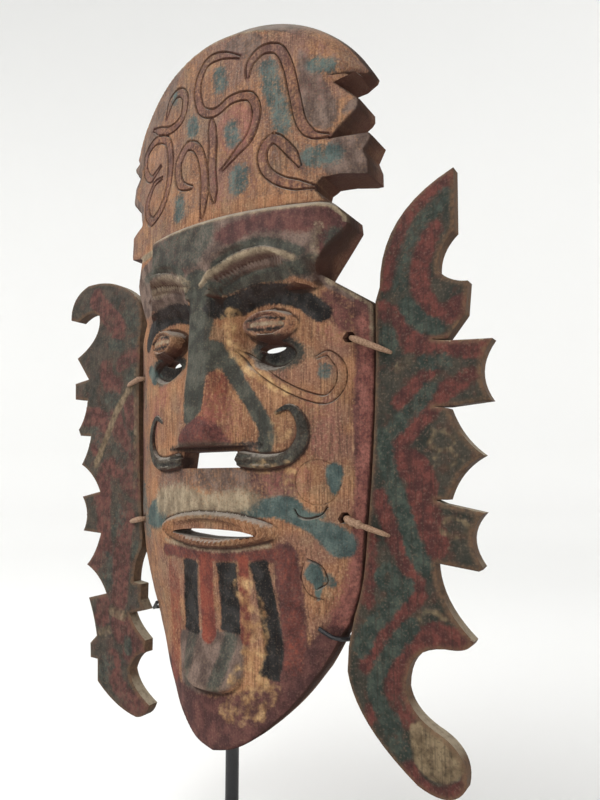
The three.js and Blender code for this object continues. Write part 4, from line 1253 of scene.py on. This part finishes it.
def ear_finish():
    """Dark board with worn red and green paint, faded in part, and pale along its rubbed edge."""
    board = Finish("ear_paint")
    fine_grain = board.noise(1.2, 4, 22)
    mottle = board.noise(14, 4)
    specks = board.noise(2.4, 4)
    board.colour = board.mix(board.span(mottle, 0.36, 0.64), shade(38, 42, 37), shade(58, 55, 47))
    board.wash(board.noise(8, 4), 0.5, 0.66, 0.6, shade(70, 46, 39))
    board.wash(specks, 0.58, 0.74, 0.4, shade(84, 66, 52))
    ragged = board.total((specks, 2.6), (mottle, 1.4))
    for pot, (dull, bright) in EAR_POTS.items():
        paint = board.mix(board.span(board.noise(5, 4), 0.36, 0.66), dull, bright)
        depth = board.maths("ADD", board.field(pot), board.maths("SUBTRACT", 2.0, ragged))
        board.lay(board.span(depth, -0.6, 0.7), paint)
    board.wash(fine_grain, 0.5, 0.34, 0.4, shade(40, 34, 30))
    grit = board.noise(1.2, 2)
    board.wash(grit, 0.5, 0.3, 0.35, shade(26, 24, 22))
    board.wash(grit, 0.54, 0.74, 0.3, shade(120, 100, 84))
    blotches = board.span(board.noise(5, 5), 0.3, 0.7, 0.06, 0.34)
    board.lay(board.maths("MULTIPLY", board.field("bleached"), blotches), shade(128, 108, 98))
    # Darker on the board's cut sides: their darker wood, and painted shade
    board.sides(shade(62, 48, 38))
    near_edge = board.span(board.field("rim"), 3.4, 0.2)
    rubbed = board.maths("MULTIPLY", near_edge, board.span(specks, 0.3, 0.7, 0.3, 0.9))
    board.lay(rubbed, shade(104, 80, 62))
    upward = board.facing("Z")
    # Painted shade: darker on what faces down
    board.wash(upward, -0.3, -0.85, 0.6, shade(48, 36, 31))
    # Pale dust and painted top light on what faces up
    dust_and_top_light = board.maths("MULTIPLY", board.span(upward, 0.35, 0.8), board.span(specks, 0.25, 0.6, 0.45, 0.9))
    board.lay(dust_and_top_light, shade(146, 134, 114))
    board.shader.inputs["Specular IOR Level"].default_value = DULL
    board.bump(board.total((fine_grain, 1), (specks, 1)), 0.4)
    return board.finished(board.span(specks, 0.3, 0.7, 0.6, 0.82))


def splint_finish():
    cane = Finish("split_cane")
    grain = cane.noise(0.9, 4)
    cane.colour = cane.mix(cane.span(grain, 0.35, 0.65), shade(122, 92, 70), shade(152, 122, 98))
    cane.bump(grain, 0.25)
    return cane.finished(0.7)


def steel_finish():
    steel = Finish("black_steel")
    grit = steel.noise(0.8, 4)
    steel.colour = steel.mix(steel.span(grit, 0.35, 0.7), shade(18, 18, 20), shade(34, 34, 37))
    steel.bump(grit, 0.06)
    return steel.finished(steel.span(grit, 0.3, 0.7, 0.38, 0.6))


# Pieces

def dress(piece, node, material):
    """Puts a piece in the place of a node, with its material."""
    piece.data.materials.append(material)
    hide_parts(node)
    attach(piece, "root")


mask, mask_points, mask_rim = mask_piece()
for pot in MASK_PAINT:
    add_field(mask, pot, mask_paint(pot, *mask_points.T, mask_rim), UNPAINTED)
add_field(mask, "proud", standing_proud(mask, len(mask_points)))
dress(mask, "mask", painted_wood())

ear_material = ear_finish()
for side, (outline, paint, faded) in EARS.items():
    ear, points, rim = ear_piece(f"ear_board_{side}", outline())
    for pot, marks in paint.items():
        add_field(ear, pot, paint_depth(*points.T, marks), UNPAINTED)
    add_field(ear, "rim", rim)
    add_field(ear, "bleached", np.full(len(points), faded))
    dress(ear, f"ear_{side}", ear_material)

for node in ("stand_cradle", "stand_base"):
    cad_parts[node].data.materials[0] = steel_finish()
cane = splint_finish()
for node, (face, end) in TIES.items():
    radii = KNOTTED if node in KNOTTED_TIES else TAPERED
    dress(splint_piece(node.replace("tie", "splint"), face, end, radii), node, cane)


# Floor, light and camera

def pale_room():
    turn = np.linspace(0, 2 * np.pi, 96, endpoint=False)
    profile = [(0.02, 0), (1.2, 0), (1.6, 0.02), (1.85, 0.12), (2.0, 0.35), (2.05, 0.8), (2.05, 2.6)]
    points = [(r * math.cos(t), r * math.sin(t), h) for r, h in profile for t in turn]
    count = len(turn)
    faces = [tuple(range(count)), *[face[::-1] for face in ring_walls(len(profile), count)]]
    room = mesh_piece("pale_room", points, faces)
    material = bpy.data.materials.new("pale_room")
    material.use_nodes = True
    shader = material.node_tree.nodes["Principled BSDF"]
    shader.inputs["Base Color"].default_value = (0.92, 0.92, 0.91, 1)
    shader.inputs["Roughness"].default_value = 0.9
    room.data.materials.append(material)
    room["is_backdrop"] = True


def soft_light(name, at, towards, size, power):
    light = bpy.data.lights.new(name, "AREA")
    light.shape = "DISK"
    light.size = size
    light.energy = power
    lamp = bpy.data.objects.new(name, light)
    bpy.context.scene.collection.objects.link(lamp)
    lamp.location = at
    lamp.rotation_euler = (Vector(towards) - Vector(at)).to_track_quat("-Z", "Y").to_euler()
    lamp.visible_camera = False


def photo_camera():
    """The photograph's camera: beside the chin on the right, looking a little up."""
    turn, tilt, roll = (math.radians(angle) for angle in (CAMERA_TURN, CAMERA_TILT, CAMERA_ROLL))
    ahead = Vector((-math.sin(turn) * math.cos(tilt), math.cos(turn) * math.cos(tilt), math.sin(tilt)))
    level = Vector((math.cos(turn), math.sin(turn), 0))
    plumb = ahead.cross(level)
    right = level * math.cos(roll) + plumb * math.sin(roll)
    down = plumb * math.cos(roll) - level * math.sin(roll)
    data = bpy.data.cameras.new("camera")
    data.sensor_width = 36
    data.lens = CAMERA_LENS
    data.clip_start = 0.01
    camera = bpy.data.objects.new("camera", data)
    bpy.context.scene.collection.objects.link(camera)
    turned = Matrix((right, -down, -ahead)).transposed().to_4x4()
    camera.matrix_world = Matrix.Translation(CAMERA_AT) @ turned
    bpy.context.scene.camera = camera


pale_room()
soft_light("key", (-0.7, -1.0, 1.5), (0, 0, 0.3), 1.2, 21)
soft_light("fill", (1.2, -0.9, 0.7), (0, 0, 0.3), 1.0, 3)
world = bpy.data.worlds.new("studio")
world.use_nodes = True
background = world.node_tree.nodes["Background"]
background.inputs["Color"].default_value = (1, 1, 1, 1)
background.inputs["Strength"].default_value = 0.8
bpy.context.scene.world = world
bpy.context.scene.view_settings.view_transform = "Standard"
photo_camera()

bpy.context.view_layer.update()
boxes = {"cad": cad_box, "visual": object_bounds()}
{name: [list(corner) for corner in box] for name, box in boxes.items()}
